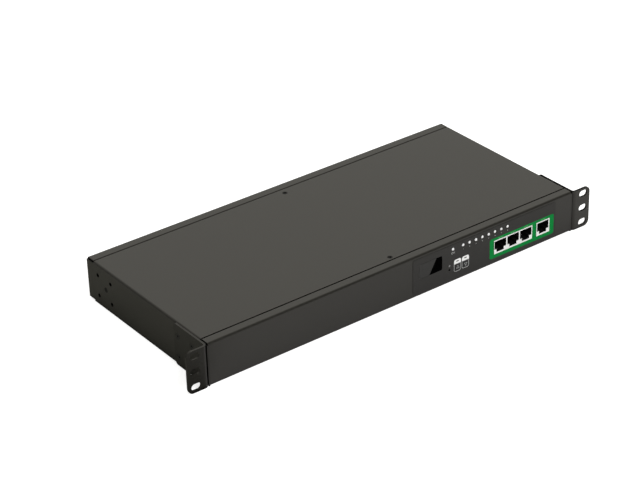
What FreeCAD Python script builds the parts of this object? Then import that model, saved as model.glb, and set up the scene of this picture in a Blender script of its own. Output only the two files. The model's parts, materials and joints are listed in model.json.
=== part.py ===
import FreeCAD, Part
import math
import os

# A one-unit rack power distribution unit: a folded steel case with two rack ears, a control panel with
# display, lamps, keys and network ports at the front, and switched outlets with their inlet at the rear.
# Frame: X to the right as seen from the front, Y back into the rack, Z up, in millimetres.
# The origin is the middle of the rack slots, on the ears' mounting face.

# Case
body_width = 437.0
body_depth = 199.0
body_height = 44.4
pan_sheet = 1.2
cover_sheet = 1.2
fold_radius = 1.0  # inside radius of the case's folds
sheet_clearance = 0.15  # between nested sheets
front_strip = 10.3  # pan flange that shows along the front of the top, up to the seam
rear_strip = 11.2
joggle_run = 0.7  # length over which the pan flange steps down below the cover
joggle_radius = 0.2
seam_gap = 0.3  # between the foot of that step and the cover's edge
cover_ledge = 11.0  # flange below the cover's edge
side_flange_height = 12.0  # pan flange along each side
side_tab_height = 38.0  # taller ends of that flange, which take the side screws
side_tab_length = 52.0
side_tab_inset = 5.0  # from the end walls to the side flange
rear_notch_length = 9.4
rear_notch_height = 1.4

# Rack ears
ear_reach = 22.8  # from the side of the case to the ear's end
ear_height = 43.6
ear_thickness = 2.0
ear_proud = 1.0  # the ears' faces in front of the case's
ear_bend = 2.3
ear_corner_radius = 6.0
ear_flange_length = 51.0
ear_flange_corner = 4.0
slot_inset = 8.74  # from the ear's end to the slots' centre line
slot_pitch = 15.875
slot_length = 10.4
slot_height = 6.8

# Screw holes in the sides, for ears at the front or brackets at the rear
side_hole_pitch = 22.0
side_hole_radius = 2.1
side_pattern_drop = 1.0  # below mid height
front_pattern_inset = 32.5
rear_pattern_inset = 29.4
side_screw_inset = 31.5  # from the rear face
side_screw_drop = 0.2
ear_screw_radius = 1.9
ear_screw_head_radius = 3.4
screw_end = 1.6  # length of a screw past the last sheet

# Countersunk cover screws
front_screw_inset = 4.0  # from the cover's edge
rear_screw_inset = 7.2
cover_screw_radius = 1.4
screw_clearance = 0.1

# Control panel film
overlay_right_margin = 22.3
overlay_width = 181.0
overlay_edge = 3.4
overlay_film = 0.25
overlay_corner = 2.0
panel_clearance = 0.2  # round pieces that pass through the front wall

# Display, offsets from the film's left edge and from mid height
window_width = 28.0
window_height = 15.0
window_left = 7.6
window_z = 3.9
window_corner = 1.5
window_rim = 1.2  # flange of the window behind the front wall
window_rim_depth = 1.0
display_width = 26.0
display_height = 13.6
display_gap = 8.0  # front wall to display board
display_air = 0.3  # window to display
board_thickness = 1.6

# Lamps
lamp_radius = 1.4
lamp_proud = 0.3
lamp_bevel = 0.3
lamp_z = 13.8
status_lamp_x = 49.2
first_lamp_x = 61.9
lamp_pitch = 8.05
outlet_count = 8

# Keys and the reset switch behind its pinhole
key_width = 6.3
key_height = 7.0
key_corner = 1.0
key_proud = 0.5
key_x = 54.9
key_pitch = 9.9
key_z = -7.5
key_flange = 0.8
key_flange_depth = 1.0
key_flange_gap = 0.4
key_stem_radius = 1.5
pinhole_x = 44.9
pinhole_radius = 1.1
switch_size = 6.0
switch_height = 3.5
plunger_radius = 1.7
plunger_proud = 1.0
plunger_depth = 1.2
plunger_clearance = 0.2
key_travel = 0.3
travel_reserve = 0.3

# Network ports
port_height = 14.75
port_z = -3.775
port_depth = 16.0
port_proud = 0.3
port_block_x = 125.75
port_block_width = 49.4
port_block_count = 3
port_pitch = 16.45
network_port_x = 164.6
network_port_width = 17.1
port_opening_width = 14.5
port_opening_height = 8.5
port_roof = 1.4  # housing above the opening
port_notch_width = 8.6
port_notch_height = 3.1
port_back_wall = 2.0
contact_count = 8
contact_pitch = 1.2
contact_width = 0.45
contact_start = 3.0
contact_run = 8.0
contact_drop = 2.8
contact_thickness = 0.4

# Boards
display_board_left = 1.0  # from the film's left edge
display_board_right = 126.0
display_board_top_gap = 0.6  # to the ledge above it
display_arm_left = 94.0  # the board is narrower from here, above the ports
display_arm_gap = 2.0  # from the ports to that arm
board_air = 0.3
spacer_radius = 2.5
spacer_bore = 1.25
spacer_bore_depth = 6.0
board_screw_radius = 1.15
board_screw_head_radius = 2.4
board_screw_head_height = 1.6
control_board_left = 38.0
control_board_right = 178.0
control_board_inset = 3.0  # from the front wall
control_board_depth = 70.0
board_hole_inset = 5.0
front_hole_inset = 24.0
standoff_radius = 3.0
header_x = 60.0
header_width = 20.0
header_depth = 8.0
header_height = 6.0
# Width, depth and height of each chip, then its middle from the film's left edge and the board's front edge
processor = (14.0, 14.0, 1.6, 70.0, 42.0)
memory = (8.0, 12.0, 1.2, 96.0, 42.0)
network_transformer = (16.0, 12.0, 6.0, 160.0, 36.0)

# Rear outlets
outlet_pitch = 34.0
outlet_from_inlet = 62.0
outlet_flange_width = 32.0
outlet_flange_height = 25.4
outlet_flange = 2.0
outlet_flange_corner = 2.0
outlet_body_width = 30.4
outlet_body_height = 22.4
outlet_body_depth = 18.0
outlet_cavity_width = 28.2
outlet_cavity_height = 20.2
outlet_cavity_depth = 14.0
outlet_block_width = 23.4
outlet_block_height = 15.4
outlet_chamfer = 5.0
outlet_slot_width = 2.6
outlet_slot_height = 4.6
outlet_slot_spread = 7.0  # line and neutral, either side of the middle
outlet_slot_drop = 2.0
outlet_slot_depth = 15.0
outlet_clearance = 0.15
latch_width = 8.0
latch_height = 0.9
latch_length = 5.0
tail_thickness = 0.8
tail_width = 4.0
tail_start = 6.0  # depth in the slot at which the blade begins
tail_past_board = 1.0

# Inlet
inlet_from_end = 38.5
inlet_flange_width = 50.0
inlet_flange_height = 27.0
inlet_flange = 2.5
inlet_flange_corner = 4.0
inlet_body_width = 33.6
inlet_body_height = 24.0
inlet_body_depth = 28.0
inlet_cavity_width = 30.0
inlet_cavity_height = 20.4
inlet_cavity_depth = 20.0
inlet_cavity_corner = 3.0
inlet_pin_width = 8.0
inlet_pin_thickness = 2.0
inlet_pin_length = 17.0
inlet_pin_spread = 6.5
inlet_pin_drop = 3.8
inlet_tail_width = 6.3
inlet_tail_thickness = 0.8
inlet_tail_length = 6.0
inlet_screw_spread = 20.0
inlet_screw_radius = 1.4
inlet_screw_head_radius = 2.8
inlet_nut_width = 5.5
inlet_nut_height = 2.4

# Relay board behind the outlets
relay_board_gap = 2.0  # behind the outlets' bodies
relay_board_left_gap = 5.0
relay_board_right = 20.0
relay_board_height = 33.0
relay_width = 19.0
relay_depth = 15.3
relay_height = 15.5
relay_z = 8.0
bracket_width = 8.0
bracket_height = 11.0
bracket_foot = 12.0
bracket_sheet = 1.2
bracket_bend = 0.8
bracket_screw_z = 7.0
bracket_after_first = 1.5  # places between outlets, counted in outlet pitches
bracket_before_last = 0.5
sensor_size = 16.0
sensor_depth = 10.0
sensor_bore = 4.5
sensor_from_left = 21.0
neutral_from_left = 6.0

# Wires
mains_wire_radius = 1.7
live_loop = 22.0
neutral_loop = 12.0
live_bend = 9.0
neutral_bend = 5.0
earth_loop = 14.0
earth_bend = 5.0
earth_run = 16.0
feed_wire_radius = 0.9
feed_wire_spread = 3.0
feed_bend = 3.0
feed_z = -5.0
lead_radius = 2.0
lead_bend = 4.0
lead_rise = 9.0
lead_inset = 14.0
ribbon_width = 14.0
ribbon_thickness = 0.9
ribbon_from_right = 20.8  # from the relay board's right end
plug_width = 17.0
plug_depth = 6.0
plug_height = 5.0
plug_inset = 12.0

# Earth point on the floor
lug_barrel_radius = 2.2
lug_barrel_length = 6.0
lug_width = 8.0
lug_length = 14.0
lug_sheet = 1.0
stud_radius = 2.0
stud_height = 8.0
stud_nut_width = 7.0
stud_nut_height = 3.2

# Low-voltage supply
supply_left = 30.0  # from the side of the case
supply_lug_gap = 7.2  # to the earth lug behind it
supply_width = 95.0
supply_depth = 65.0
transformer_width = 20.0
bobbin_depth = 22.0
transformer_height = 16.0
core_depth = 14.0
bobbin_radius = 7.6
capacitor_radius = 6.5
capacitor_height = 20.0
capacitor_pitch = 16.0
component_inset = 14.0

# Places worked out from the sizes above
half_width = body_width / 2
top = body_height / 2
bottom = -top
ear_front = -ear_thickness
front = ear_front + ear_proud
rear = front + body_depth
front_inside = front + pan_sheet
rear_inside = rear - pan_sheet
floor = bottom + pan_sheet
pan_half = half_width - cover_sheet - sheet_clearance
fold_outside = fold_radius + pan_sheet
step_down = cover_sheet + sheet_clearance
cover_screw_head_radius = cover_screw_radius + cover_sheet
film_left = half_width - overlay_right_margin - overlay_width
film_right = film_left + overlay_width
film_face = front - overlay_film
display_board_front = front_inside + display_gap
display_board_rear = display_board_front + board_thickness
display_board_top = top - pan_sheet - step_down - display_board_top_gap
port_bottom = port_z - port_height / 2
port_top = port_z + port_height / 2
board_top = port_bottom
board_bottom = board_top - board_thickness
display_board_bottom = board_top + board_air
control_left = film_left + control_board_left
control_right = film_left + control_board_right
control_front = front_inside + control_board_inset
control_rear = control_front + control_board_depth
inlet_x = -half_width + inlet_from_end
first_outlet = inlet_x + outlet_from_inlet
last_outlet = first_outlet + outlet_pitch * (outlet_count - 1)
relay_board_rear = rear_inside - outlet_body_depth - relay_board_gap
relay_board_front = relay_board_rear - board_thickness
relay_board_left = inlet_x + inlet_body_width / 2 + relay_board_left_gap
relay_board_end = last_outlet + relay_board_right
ribbon_x = relay_board_end - ribbon_from_right
tail_end = rear_inside - inlet_body_depth - inlet_tail_length
supply_x0 = -half_width + supply_left
supply_x1 = supply_x0 + supply_width
earth_wire_end = tail_end - earth_loop - earth_run
lug_front = earth_wire_end - lug_barrel_length - lug_length
supply_y1 = lug_front - supply_lug_gap
supply_y0 = supply_y1 - supply_depth

X_AXIS = FreeCAD.Vector(1, 0, 0)
Y_AXIS = FreeCAD.Vector(0, 1, 0)
Z_AXIS = FreeCAD.Vector(0, 0, 1)
PAST = 5.0  # how far a cutting tool reaches past what it cuts
TOUCH = 1e-6  # lengths closer than this are taken as the same


def vector(x, y, z):
    return FreeCAD.Vector(x, y, z)


def box(x0, x1, y0, y1, z0, z1):
    return Part.makeBox(x1 - x0, y1 - y0, z1 - z0, vector(x0, y0, z0))


def cylinder(radius, start, axis, length):
    return Part.makeCylinder(radius, length, start, axis)


def prism(points, direction):
    """A straight-sided solid over a closed polygon."""
    wire = Part.makePolygon(points + points[:1])
    return Part.Face(wire).extrude(direction)


def rounded_outline(width, height, radius, place):
    """A rounded rectangle about the middle, with place turning its two coordinates into a point."""
    u, v = width / 2, height / 2
    slant = radius * (1 - math.sqrt(0.5))
    edges = []
    for su, sv in ((1, 1), (-1, 1), (-1, -1), (1, -1)):
        along_u = place(su * (u - radius), sv * v)
        along_v = place(su * u, sv * (v - radius))
        first, last = (along_v, along_u) if su * sv > 0 else (along_u, along_v)
        middle = place(su * (u - slant), sv * (v - slant))
        edges.append(Part.Arc(first, middle, last).toShape())
    lines = []
    for arc, following in zip(edges, edges[1:] + edges[:1]):
        start, end = arc.Vertexes[-1].Point, following.Vertexes[0].Point
        if start.distanceToPoint(end) > TOUCH:
            lines.append(Part.makeLine(start, end))
    return Part.Wire(Part.__sortEdges__(edges + lines))


def panel_block(x, z, width, height, radius, y0, y1):
    """A rounded block whose outline lies in the front panel's plane."""
    outline = rounded_outline(width, height, radius, lambda u, v: vector(x + u, y0, z + v))
    return Part.Face(outline).extrude(vector(0, y1 - y0, 0))


def slot_block(x, z, length, height, y0, y1):
    """A round-ended slot in the front panel's plane."""
    reach = (length - height) / 2
    radius = height / 2
    corners = [vector(x - reach, y0, z + radius), vector(x + reach, y0, z + radius)]
    corners += [vector(x + reach, y0, z - radius), vector(x - reach, y0, z - radius)]
    right = Part.Arc(corners[1], vector(x + reach + radius, y0, z), corners[2]).toShape()
    left = Part.Arc(corners[3], vector(x - reach - radius, y0, z), corners[0]).toShape()
    upper = Part.makeLine(corners[0], corners[1])
    lower = Part.makeLine(corners[2], corners[3])
    return Part.Face(Part.Wire([upper, right, lower, left])).extrude(vector(0, y1 - y0, 0))


def unit(a, b):
    length = math.hypot(b[0] - a[0], b[1] - a[1])
    return (b[0] - a[0]) / length, (b[1] - a[1]) / length


def folded_side(points, radii, thickness, hand):
    """One face of a folded sheet: straight and arc pieces, offset from the middle line to one hand."""
    half = thickness / 2
    directions = [unit(a, b) for a, b in zip(points, points[1:])]
    normals = [(-d[1] * hand, d[0] * hand) for d in directions]
    last = len(points) - 1
    stations = [[(points[0][0] + normals[0][0] * half, points[0][1] + normals[0][1] * half)]]
    for i in range(1, last):
        before, after = directions[i - 1], directions[i]
        turn = before[0] * after[1] - before[1] * after[0]
        cosine = before[0] * after[0] + before[1] * after[1]
        tangent = math.tan(math.acos(max(-1.0, min(1.0, cosine))) / 2)
        reach = half / (1 + cosine)
        corner = [points[i][k] + (normals[i - 1][k] + normals[i][k]) * reach for k in (0, 1)]
        inner = turn * hand > 0
        radius = radii[i - 1] if inner else radii[i - 1] + thickness
        length = radius * tangent
        start = [corner[k] - before[k] * length for k in (0, 1)]
        end = [corner[k] + after[k] * length for k in (0, 1)]
        toward = normals[i - 1] if inner else (-normals[i - 1][0], -normals[i - 1][1])
        centre = [start[k] + toward[k] * radius for k in (0, 1)]
        out = unit(centre, corner)
        middle = [centre[k] + out[k] * radius for k in (0, 1)]
        stations.append([start, middle, end])
    stations.append([(points[last][0] + normals[-1][0] * half, points[last][1] + normals[-1][1] * half)])
    return stations


def folded_sheet(points, radii, thickness, place, direction):
    """A sheet folded along a middle line, with an inside radius at each fold."""
    edges = []
    ends = []
    for hand in (1, -1):
        stations = folded_side(points, radii, thickness, hand)
        for here, following in zip(stations, stations[1:]):
            edges.append(Part.makeLine(place(*here[-1]), place(*following[0])))
        for station in stations[1:-1]:
            edges.append(Part.Arc(*[place(*p) for p in station]).toShape())
        ends.append((place(*stations[0][0]), place(*stations[-1][0])))
    edges.append(Part.makeLine(ends[0][0], ends[1][0]))
    edges.append(Part.makeLine(ends[0][1], ends[1][1]))
    outline = Part.Wire(Part.__sortEdges__(edges))
    return Part.Face(outline).extrude(direction)


def wire_run(points, bend, radius):
    """A round wire along straight runs joined by tangent arcs."""
    edges = []
    start = points[0]
    for before, corner, after in zip(points, points[1:], points[2:]):
        incoming = (corner - before).normalize()
        outgoing = (after - corner).normalize()
        half_turn = incoming.getAngle(outgoing) / 2
        length = bend * math.tan(half_turn)
        enter = corner - incoming * length
        leave = corner + outgoing * length
        inward = (outgoing - incoming).normalize()
        middle = corner + inward * (bend / math.cos(half_turn) - bend)
        edges.append(Part.makeLine(start, enter))
        edges.append(Part.Arc(enter, middle, leave).toShape())
        start = leave
    edges.append(Part.makeLine(start, points[-1]))
    first = (points[1] - points[0]).normalize()
    section = Part.Wire(Part.makeCircle(radius, points[0], first))
    return Part.Wire(edges).makePipeShell([section], True, False)


def hexagon(width, start, height, axis, across):
    """A hexagonal block, width across its flats."""
    other = axis.cross(across)
    points = []
    for k in range(6):
        angle = math.radians(60 * k + 30)
        reach = width / math.sqrt(3)
        points.append(start + across * (reach * math.cos(angle)) + other * (reach * math.sin(angle)))
    return prism(points, axis * height)


def cut_all(shape, tools):
    return shape.cut(Part.makeCompound(tools)).removeSplitter() if tools else shape


def fuse_all(first, others):
    return first.multiFuse(others).removeSplitter()


def group(solids):
    return Part.makeCompound(solids)


# Places of the panel's pieces


def lamp_positions():
    return [film_left + first_lamp_x + lamp_pitch * k for k in range(outlet_count)]


def key_positions():
    return [film_left + key_x + key_pitch * k for k in range(2)]


def pinhole_position():
    return film_left + pinhole_x


def port_positions():
    middle = film_left + port_block_x
    return [middle + port_pitch * (k - (port_block_count - 1) / 2) for k in range(port_block_count)]


def outlet_positions():
    return [first_outlet + outlet_pitch * k for k in range(outlet_count)]


def spacer_positions():
    low = display_board_bottom + board_hole_inset
    high = display_board_top - board_hole_inset
    arm = (port_top + display_arm_gap + lamp_z - lamp_radius) / 2
    left = film_left + display_board_left + spacer_radius
    return [(left, low), (left, high), (film_left + display_arm_left - board_hole_inset, low),
            (film_left + display_board_right - spacer_radius - board_air, arm)]


def standoff_positions():
    left, right = control_left + board_hole_inset, control_right - board_hole_inset
    control = [(left, control_front + front_hole_inset), (right, control_front + front_hole_inset)]
    control += [(left, control_rear - board_hole_inset), (right, control_rear - board_hole_inset)]
    supply = [(x, y) for x in (supply_x0 + board_hole_inset, supply_x1 - board_hole_inset)
              for y in (supply_y0 + board_hole_inset, supply_y1 - board_hole_inset)]
    return control, supply


def bracket_positions():
    return [first_outlet + outlet_pitch * bracket_after_first,
            last_outlet - outlet_pitch * bracket_before_last]


def side_pattern(middle_y):
    half = side_hole_pitch / 2
    return [(middle_y + dy, -side_pattern_drop + dz) for dy in (-half, half) for dz in (-half, half)]


def front_pattern():
    return side_pattern(front + front_pattern_inset)


def rear_pattern():
    return side_pattern(rear - rear_pattern_inset)


def side_screw_place():
    return rear - side_screw_inset, -side_screw_drop


def cover_edges():
    """The cover's front and rear edges, and the middle-line points of the steps they cover."""
    lean = pan_sheet / 2 * math.tan(math.atan2(step_down, joggle_run) / 2)
    span = lean + joggle_run + joggle_radius + seam_gap
    front_step = front + front_strip - span / 2
    rear_step = rear - rear_strip + span / 2
    return front_step, rear_step, front_step + span, rear_step - span


def through_y(radius, x, z, y0, y1):
    return cylinder(radius, vector(x, y0, z), Y_AXIS, y1 - y0)


# Case


def front_openings(clearance, y0, y1):
    """Cutting tools for what shows through the front wall and the film on it."""
    extra = 2 * clearance
    tools = [panel_block(film_left + window_left + window_width / 2, window_z, window_width + extra,
                         window_height + extra, window_corner + clearance, y0, y1)]
    for x in lamp_positions() + [film_left + status_lamp_x]:
        tools.append(through_y(lamp_radius + clearance, x, lamp_z, y0, y1))
    for x in key_positions():
        tools.append(panel_block(x, key_z, key_width + extra, key_height + extra, key_corner + clearance,
                                 y0, y1))
    tools.append(through_y(pinhole_radius, pinhole_position(), key_z, y0, y1))
    for offset, width in ((port_block_x, port_block_width), (network_port_x, network_port_width)):
        half = width / 2 + clearance
        x = film_left + offset
        tools.append(box(x - half, x + half, y0, y1, port_bottom - clearance, port_top + clearance))
    return tools


def rear_openings(y0, y1):
    tools = []
    for x in outlet_positions():
        half_x = outlet_body_width / 2 + outlet_clearance
        half_z = outlet_body_height / 2 + outlet_clearance
        tools.append(box(x - half_x, x + half_x, y0, y1, -half_z, half_z))
    half_x = inlet_body_width / 2 + outlet_clearance
    half_z = inlet_body_height / 2 + outlet_clearance
    tools.append(box(inlet_x - half_x, inlet_x + half_x, y0, y1, -half_z, half_z))
    for side in (-1, 1):
        tools.append(through_y(inlet_screw_radius + screw_clearance, inlet_x + side * inlet_screw_spread, 0,
                               y0, y1))
    return tools


def base_pan():
    """Floor, front and rear walls and their top flanges, with a flange up each side."""
    half = pan_sheet / 2
    upper, ledge, lower = top - half, top - half - step_down, bottom + half
    front_step, rear_step, front_edge, rear_edge = cover_edges()
    points = [(front_edge + cover_ledge, ledge), (front_step + joggle_run, ledge), (front_step, upper)]
    points += [(front + half, upper), (front + half, lower), (rear - half, lower), (rear - half, upper)]
    points += [(rear_step, upper), (rear_step - joggle_run, ledge), (rear_edge - cover_ledge, ledge)]
    radii = [joggle_radius] * 2 + [fold_radius] * 4 + [joggle_radius] * 2
    pan = folded_sheet(points, radii, pan_sheet, lambda y, z: vector(-pan_half, y, z),
                       vector(2 * pan_half, 0, 0))

    y0, y1 = front_inside + side_tab_inset, rear_inside - side_tab_inset
    wall = pan_half - half
    flanges = []
    trims = []
    for side in (-1, 1):
        edge = sorted((side * (pan_half - fold_outside), side * (pan_half + PAST)))
        trims.append(box(edge[0], edge[1], front + fold_outside, rear - fold_outside, bottom - PAST,
                         bottom + fold_outside))
        profile = [(side * (pan_half - 2 * fold_outside), lower), (side * wall, lower),
                   (side * wall, bottom + side_tab_height)]
        flanges.append(folded_sheet(profile, [fold_radius], pan_sheet, lambda x, z: vector(x, y0, z),
                                    vector(0, y1 - y0, 0)))
    pan = fuse_all(cut_all(pan, trims), flanges)

    tools = [box(-half_width, half_width, y0 + side_tab_length, y1 - side_tab_length,
                 bottom + side_flange_height, ledge - PAST)]
    for side in (-1, 1):
        edge = sorted((side * (pan_half - fold_outside), side * (pan_half + PAST)))
        for start, end in ((front_step + joggle_run, front_edge + cover_ledge),
                           (rear_edge - cover_ledge, rear_step - joggle_run)):
            tools.append(box(edge[0], edge[1], start, end + joggle_radius, ledge - pan_sheet, top))
    for y, z in front_pattern() + rear_pattern():
        tools.append(cylinder(side_hole_radius, vector(-half_width - PAST, y, z), X_AXIS,
                              body_width + 2 * PAST))
    y, z = side_screw_place()
    hole = cover_screw_radius + screw_clearance
    tools.append(cylinder(hole, vector(-half_width - PAST, y, z), X_AXIS, body_width + 2 * PAST))
    for y in (front_edge + front_screw_inset, rear_edge - rear_screw_inset):
        tools.append(cylinder(hole, vector(0, y, ledge - PAST), Z_AXIS, 2 * PAST))
    tools += front_openings(panel_clearance, front - PAST, front_inside + PAST)
    tools += rear_openings(rear_inside - PAST, rear + PAST)
    return cut_all(pan, tools)


def sunk_screw(seat, inward, radius, head_radius, length):
    """A countersunk screw with its head level with its seat."""
    drop = head_radius - radius
    head = Part.makeCone(head_radius, radius, drop, seat, inward)
    shank = cylinder(radius, seat + inward * drop, inward, length - drop)
    return head.fuse(shank).removeSplitter()


def countersink(seat, inward, radius, head_radius):
    """Room for a countersunk screw."""
    wide, narrow = head_radius + screw_clearance, radius + screw_clearance
    cone = Part.makeCone(wide, narrow, wide - narrow, seat, inward)
    return cone.fuse(cylinder(narrow, seat, inward, PAST))


def cover_screw_places():
    """Seat and inward direction of each cover screw: two in the top and one in each side."""
    front_edge, rear_edge = cover_edges()[2:]
    places = [(vector(0, front_edge + front_screw_inset, top), -Z_AXIS),
              (vector(0, rear_edge - rear_screw_inset, top), -Z_AXIS)]
    y, z = side_screw_place()
    return places + [(vector(half_width, y, z), -X_AXIS), (vector(-half_width, y, z), X_AXIS)]


def cover_screws():
    length = cover_sheet + sheet_clearance + pan_sheet + screw_end
    return group([sunk_screw(seat, inward, cover_screw_radius, cover_screw_head_radius, length)
                  for seat, inward in cover_screw_places()])


def top_cover():
    """Top and both sides in one sheet, cut back over the pan's strips."""
    half = cover_sheet / 2
    side, upper = half_width - half, top - half
    points = [(-side, bottom), (-side, upper), (side, upper), (side, bottom)]
    cover = folded_sheet(points, [fold_radius] * 2, cover_sheet, lambda x, z: vector(x, front, z),
                         vector(0, body_depth, 0))
    front_edge, rear_edge = cover_edges()[2:]
    shoulder = top - fold_radius - cover_sheet
    tools = [box(-half_width, half_width, front, front_edge, shoulder, top)]
    tools.append(box(-half_width, half_width, rear_edge, rear, shoulder, top))
    tools.append(box(-half_width, half_width, rear - rear_notch_length, rear, bottom,
                     bottom + rear_notch_height))
    for y, z in front_pattern() + rear_pattern():
        tools.append(cylinder(side_hole_radius, vector(-half_width - PAST, y, z), X_AXIS,
                              body_width + 2 * PAST))
    tools += [countersink(seat, inward, cover_screw_radius, cover_screw_head_radius)
              for seat, inward in cover_screw_places()]
    return cut_all(cover, tools)


def right_ear():
    """An angle with three rack slots, its flange along the side of the case."""
    half = ear_thickness / 2
    end = half_width + ear_reach
    points = [(half_width + half, ear_front + ear_flange_length), (half_width + half, ear_front + half),
              (end, ear_front + half)]
    ear = folded_sheet(points, [ear_bend], ear_thickness, lambda x, y: vector(x, y, -ear_height / 2),
                       vector(0, 0, ear_height))
    for axis, reach, radius in ((1, end, ear_corner_radius),
                                (0, ear_front + ear_flange_length, ear_flange_corner)):
        corners = []
        for edge in ear.Edges:
            spread = [edge.BoundBox.XLength, edge.BoundBox.YLength][axis]
            place = edge.BoundBox.XMax if axis else edge.BoundBox.YMax
            across_sheet = edge.BoundBox.ZLength < TOUCH and abs(spread - ear_thickness) < TOUCH
            if across_sheet and abs(place - reach) < TOUCH:
                corners.append(edge)
        ear = ear.makeFillet(radius, corners)
    tools = [slot_block(end - slot_inset, slot_pitch * k, slot_length, slot_height, ear_front - PAST,
                        ear_front + PAST)
             for k in (-1, 0, 1)]
    for y, z in front_pattern():
        tools.append(cylinder(side_hole_radius, vector(half_width - PAST, y, z), X_AXIS,
                              2 * PAST + ear_thickness))
        tools.append(countersink(vector(half_width + ear_thickness, y, z), -X_AXIS, ear_screw_radius,
                                 ear_screw_head_radius))
    return cut_all(ear, tools)


def ear_screws():
    """Countersunk screws through the ear's flange, the cover and the pan."""
    length = ear_thickness + cover_sheet + sheet_clearance + pan_sheet + screw_end
    screws = []
    for side in (-1, 1):
        for y, z in front_pattern():
            seat = vector(side * (half_width + ear_thickness), y, z)
            screws.append(sunk_screw(seat, X_AXIS * -side, ear_screw_radius, ear_screw_head_radius, length))
    return group(screws)


# Control panel


def front_overlay():
    """The film over the control panel, open at the window, lamps, keys and ports."""
    film = panel_block((film_left + film_right) / 2, 0, overlay_width, body_height - 2 * overlay_edge,
                       overlay_corner, film_face, front)
    return cut_all(film, front_openings(panel_clearance, film_face - PAST, front + PAST))


def display_window():
    """Smoked window with a rim that bears on the back of the front wall."""
    x = film_left + window_left + window_width / 2
    pane = panel_block(x, window_z, window_width, window_height, window_corner, film_face, front_inside)
    rim = panel_block(x, window_z, window_width + 2 * window_rim, window_height + 2 * window_rim,
                      window_corner + window_rim, front_inside, front_inside + window_rim_depth)
    return fuse_all(pane, [rim])


def display_module():
    x = film_left + window_left + window_width / 2
    y = front_inside + window_rim_depth + display_air
    return box(x - display_width / 2, x + display_width / 2, y, display_board_front,
               window_z - display_height / 2, window_z + display_height / 2)


def lamp(x):
    """A lamp from the display board to just past the film, with a bevelled end."""
    tip = film_face - lamp_proud
    stem = through_y(lamp_radius, x, lamp_z, tip + lamp_bevel, display_board_front)
    end = Part.makeCone(lamp_radius - lamp_bevel, lamp_radius, lamp_bevel, vector(x, tip, lamp_z), Y_AXIS)
    return fuse_all(stem, [end])


def key(x):
    """A key with a flange that keeps it behind the front wall, and a stem to its switch."""
    cap_face = film_face - key_proud
    flange_front = front_inside + key_flange_gap
    flange_rear = flange_front + key_flange_depth
    plunger_tip = display_board_front - switch_height - plunger_proud
    cap = panel_block(x, key_z, key_width, key_height, key_corner, cap_face, flange_front)
    cap = cap.makeChamfer(key_proud / 2,
                          [edge for edge in cap.Edges if edge.BoundBox.YMax < cap_face + TOUCH])
    flange = panel_block(x, key_z, key_width + 2 * key_flange, key_height + 2 * key_flange,
                         key_corner + key_flange, flange_front, flange_rear)
    stem = through_y(key_stem_radius, x, key_z, flange_rear, plunger_tip)
    return fuse_all(cap, [flange, stem])


def plunger(x):
    """The button of a switch, standing out of its case."""
    tip = display_board_front - switch_height - plunger_proud
    return through_y(plunger_radius, x, key_z, tip, tip + plunger_proud + plunger_depth)


def key_switches():
    """Cases of the two key switches and the reset switch, each with a well for its plunger."""
    cases = []
    face = display_board_front - switch_height
    half = switch_size / 2
    well = plunger_depth + key_travel + travel_reserve
    for x in key_positions() + [pinhole_position()]:
        case = box(x - half, x + half, face, display_board_front, key_z - half, key_z + half)
        hole = through_y(plunger_radius + plunger_clearance, x, key_z, face - PAST, face + well)
        cases.append(case.cut(hole))
    return group(cases)


def display_board():
    """Upright board with a narrow arm above the ports."""
    left, right = film_left + display_board_left, film_left + display_board_right
    upper, arm = display_board_top, port_top + display_arm_gap
    elbow = film_left + display_arm_left
    y = display_board_front
    points = [vector(left, y, display_board_bottom), vector(elbow, y, display_board_bottom),
              vector(elbow, y, arm)]
    points += [vector(right, y, arm), vector(right, y, upper), vector(left, y, upper)]
    board = prism(points, vector(0, board_thickness, 0))
    return cut_all(board, [through_y(spacer_bore, x, z, y - PAST, y + PAST) for x, z in spacer_positions()])


def display_spacers():
    """Threaded spacers fixed to the front wall."""
    spacers = []
    for x, z in spacer_positions():
        spacer = through_y(spacer_radius, x, z, front_inside, display_board_front)
        bore = through_y(spacer_bore, x, z, display_board_front - spacer_bore_depth, display_board_front)
        spacers.append(spacer.cut(bore))
    return group(spacers)


def board_screw(seat, inward, length):
    head = cylinder(board_screw_head_radius, seat, -inward, board_screw_head_height)
    return head.fuse(cylinder(board_screw_radius, seat, inward, length)).removeSplitter()


def display_screws():
    length = board_thickness + spacer_bore_depth - screw_end
    return group([board_screw(vector(x, display_board_rear, z), -Y_AXIS, length) for x,
                  z in spacer_positions()])


def port_opening(x):
    """Room for one plug, with the notch for its latch below."""
    ceiling = port_top - port_roof
    sill = ceiling - port_opening_height
    half, notch = port_opening_width / 2, port_notch_width / 2
    y0 = film_face - port_proud
    y1 = y0 + port_depth - port_back_wall
    points = [(-half, ceiling), (-half, sill), (-notch, sill), (-notch, sill - port_notch_height)]
    points += [(-u, z) for u, z in reversed(points)]
    return prism([vector(x + u, y0 - PAST, z) for u, z in points], vector(0, y1 - y0 + PAST, 0))


def port_housing(x, width, openings):
    y0 = film_face - port_proud
    housing = box(x - width / 2, x + width / 2, y0, y0 + port_depth, port_bottom, port_top)
    return cut_all(housing, [port_opening(at) for at in openings])


def port_contacts():
    """Sprung contacts that slope down from the roof of each port."""
    contacts = []
    ceiling = port_top - port_roof
    y = film_face - port_proud + contact_start
    outline = [(y, ceiling), (y + contact_thickness, ceiling), (y + contact_run, ceiling - contact_drop)]
    outline += [(y + contact_run - contact_thickness, ceiling - contact_drop)]
    for port in port_positions() + [film_left + network_port_x]:
        for k in range(contact_count):
            x = port + contact_pitch * (k - (contact_count - 1) / 2) - contact_width / 2
            contacts.append(prism([vector(x, v, z) for v, z in outline], vector(contact_width, 0, 0)))
    return group(contacts)


# Boards on the floor


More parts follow.
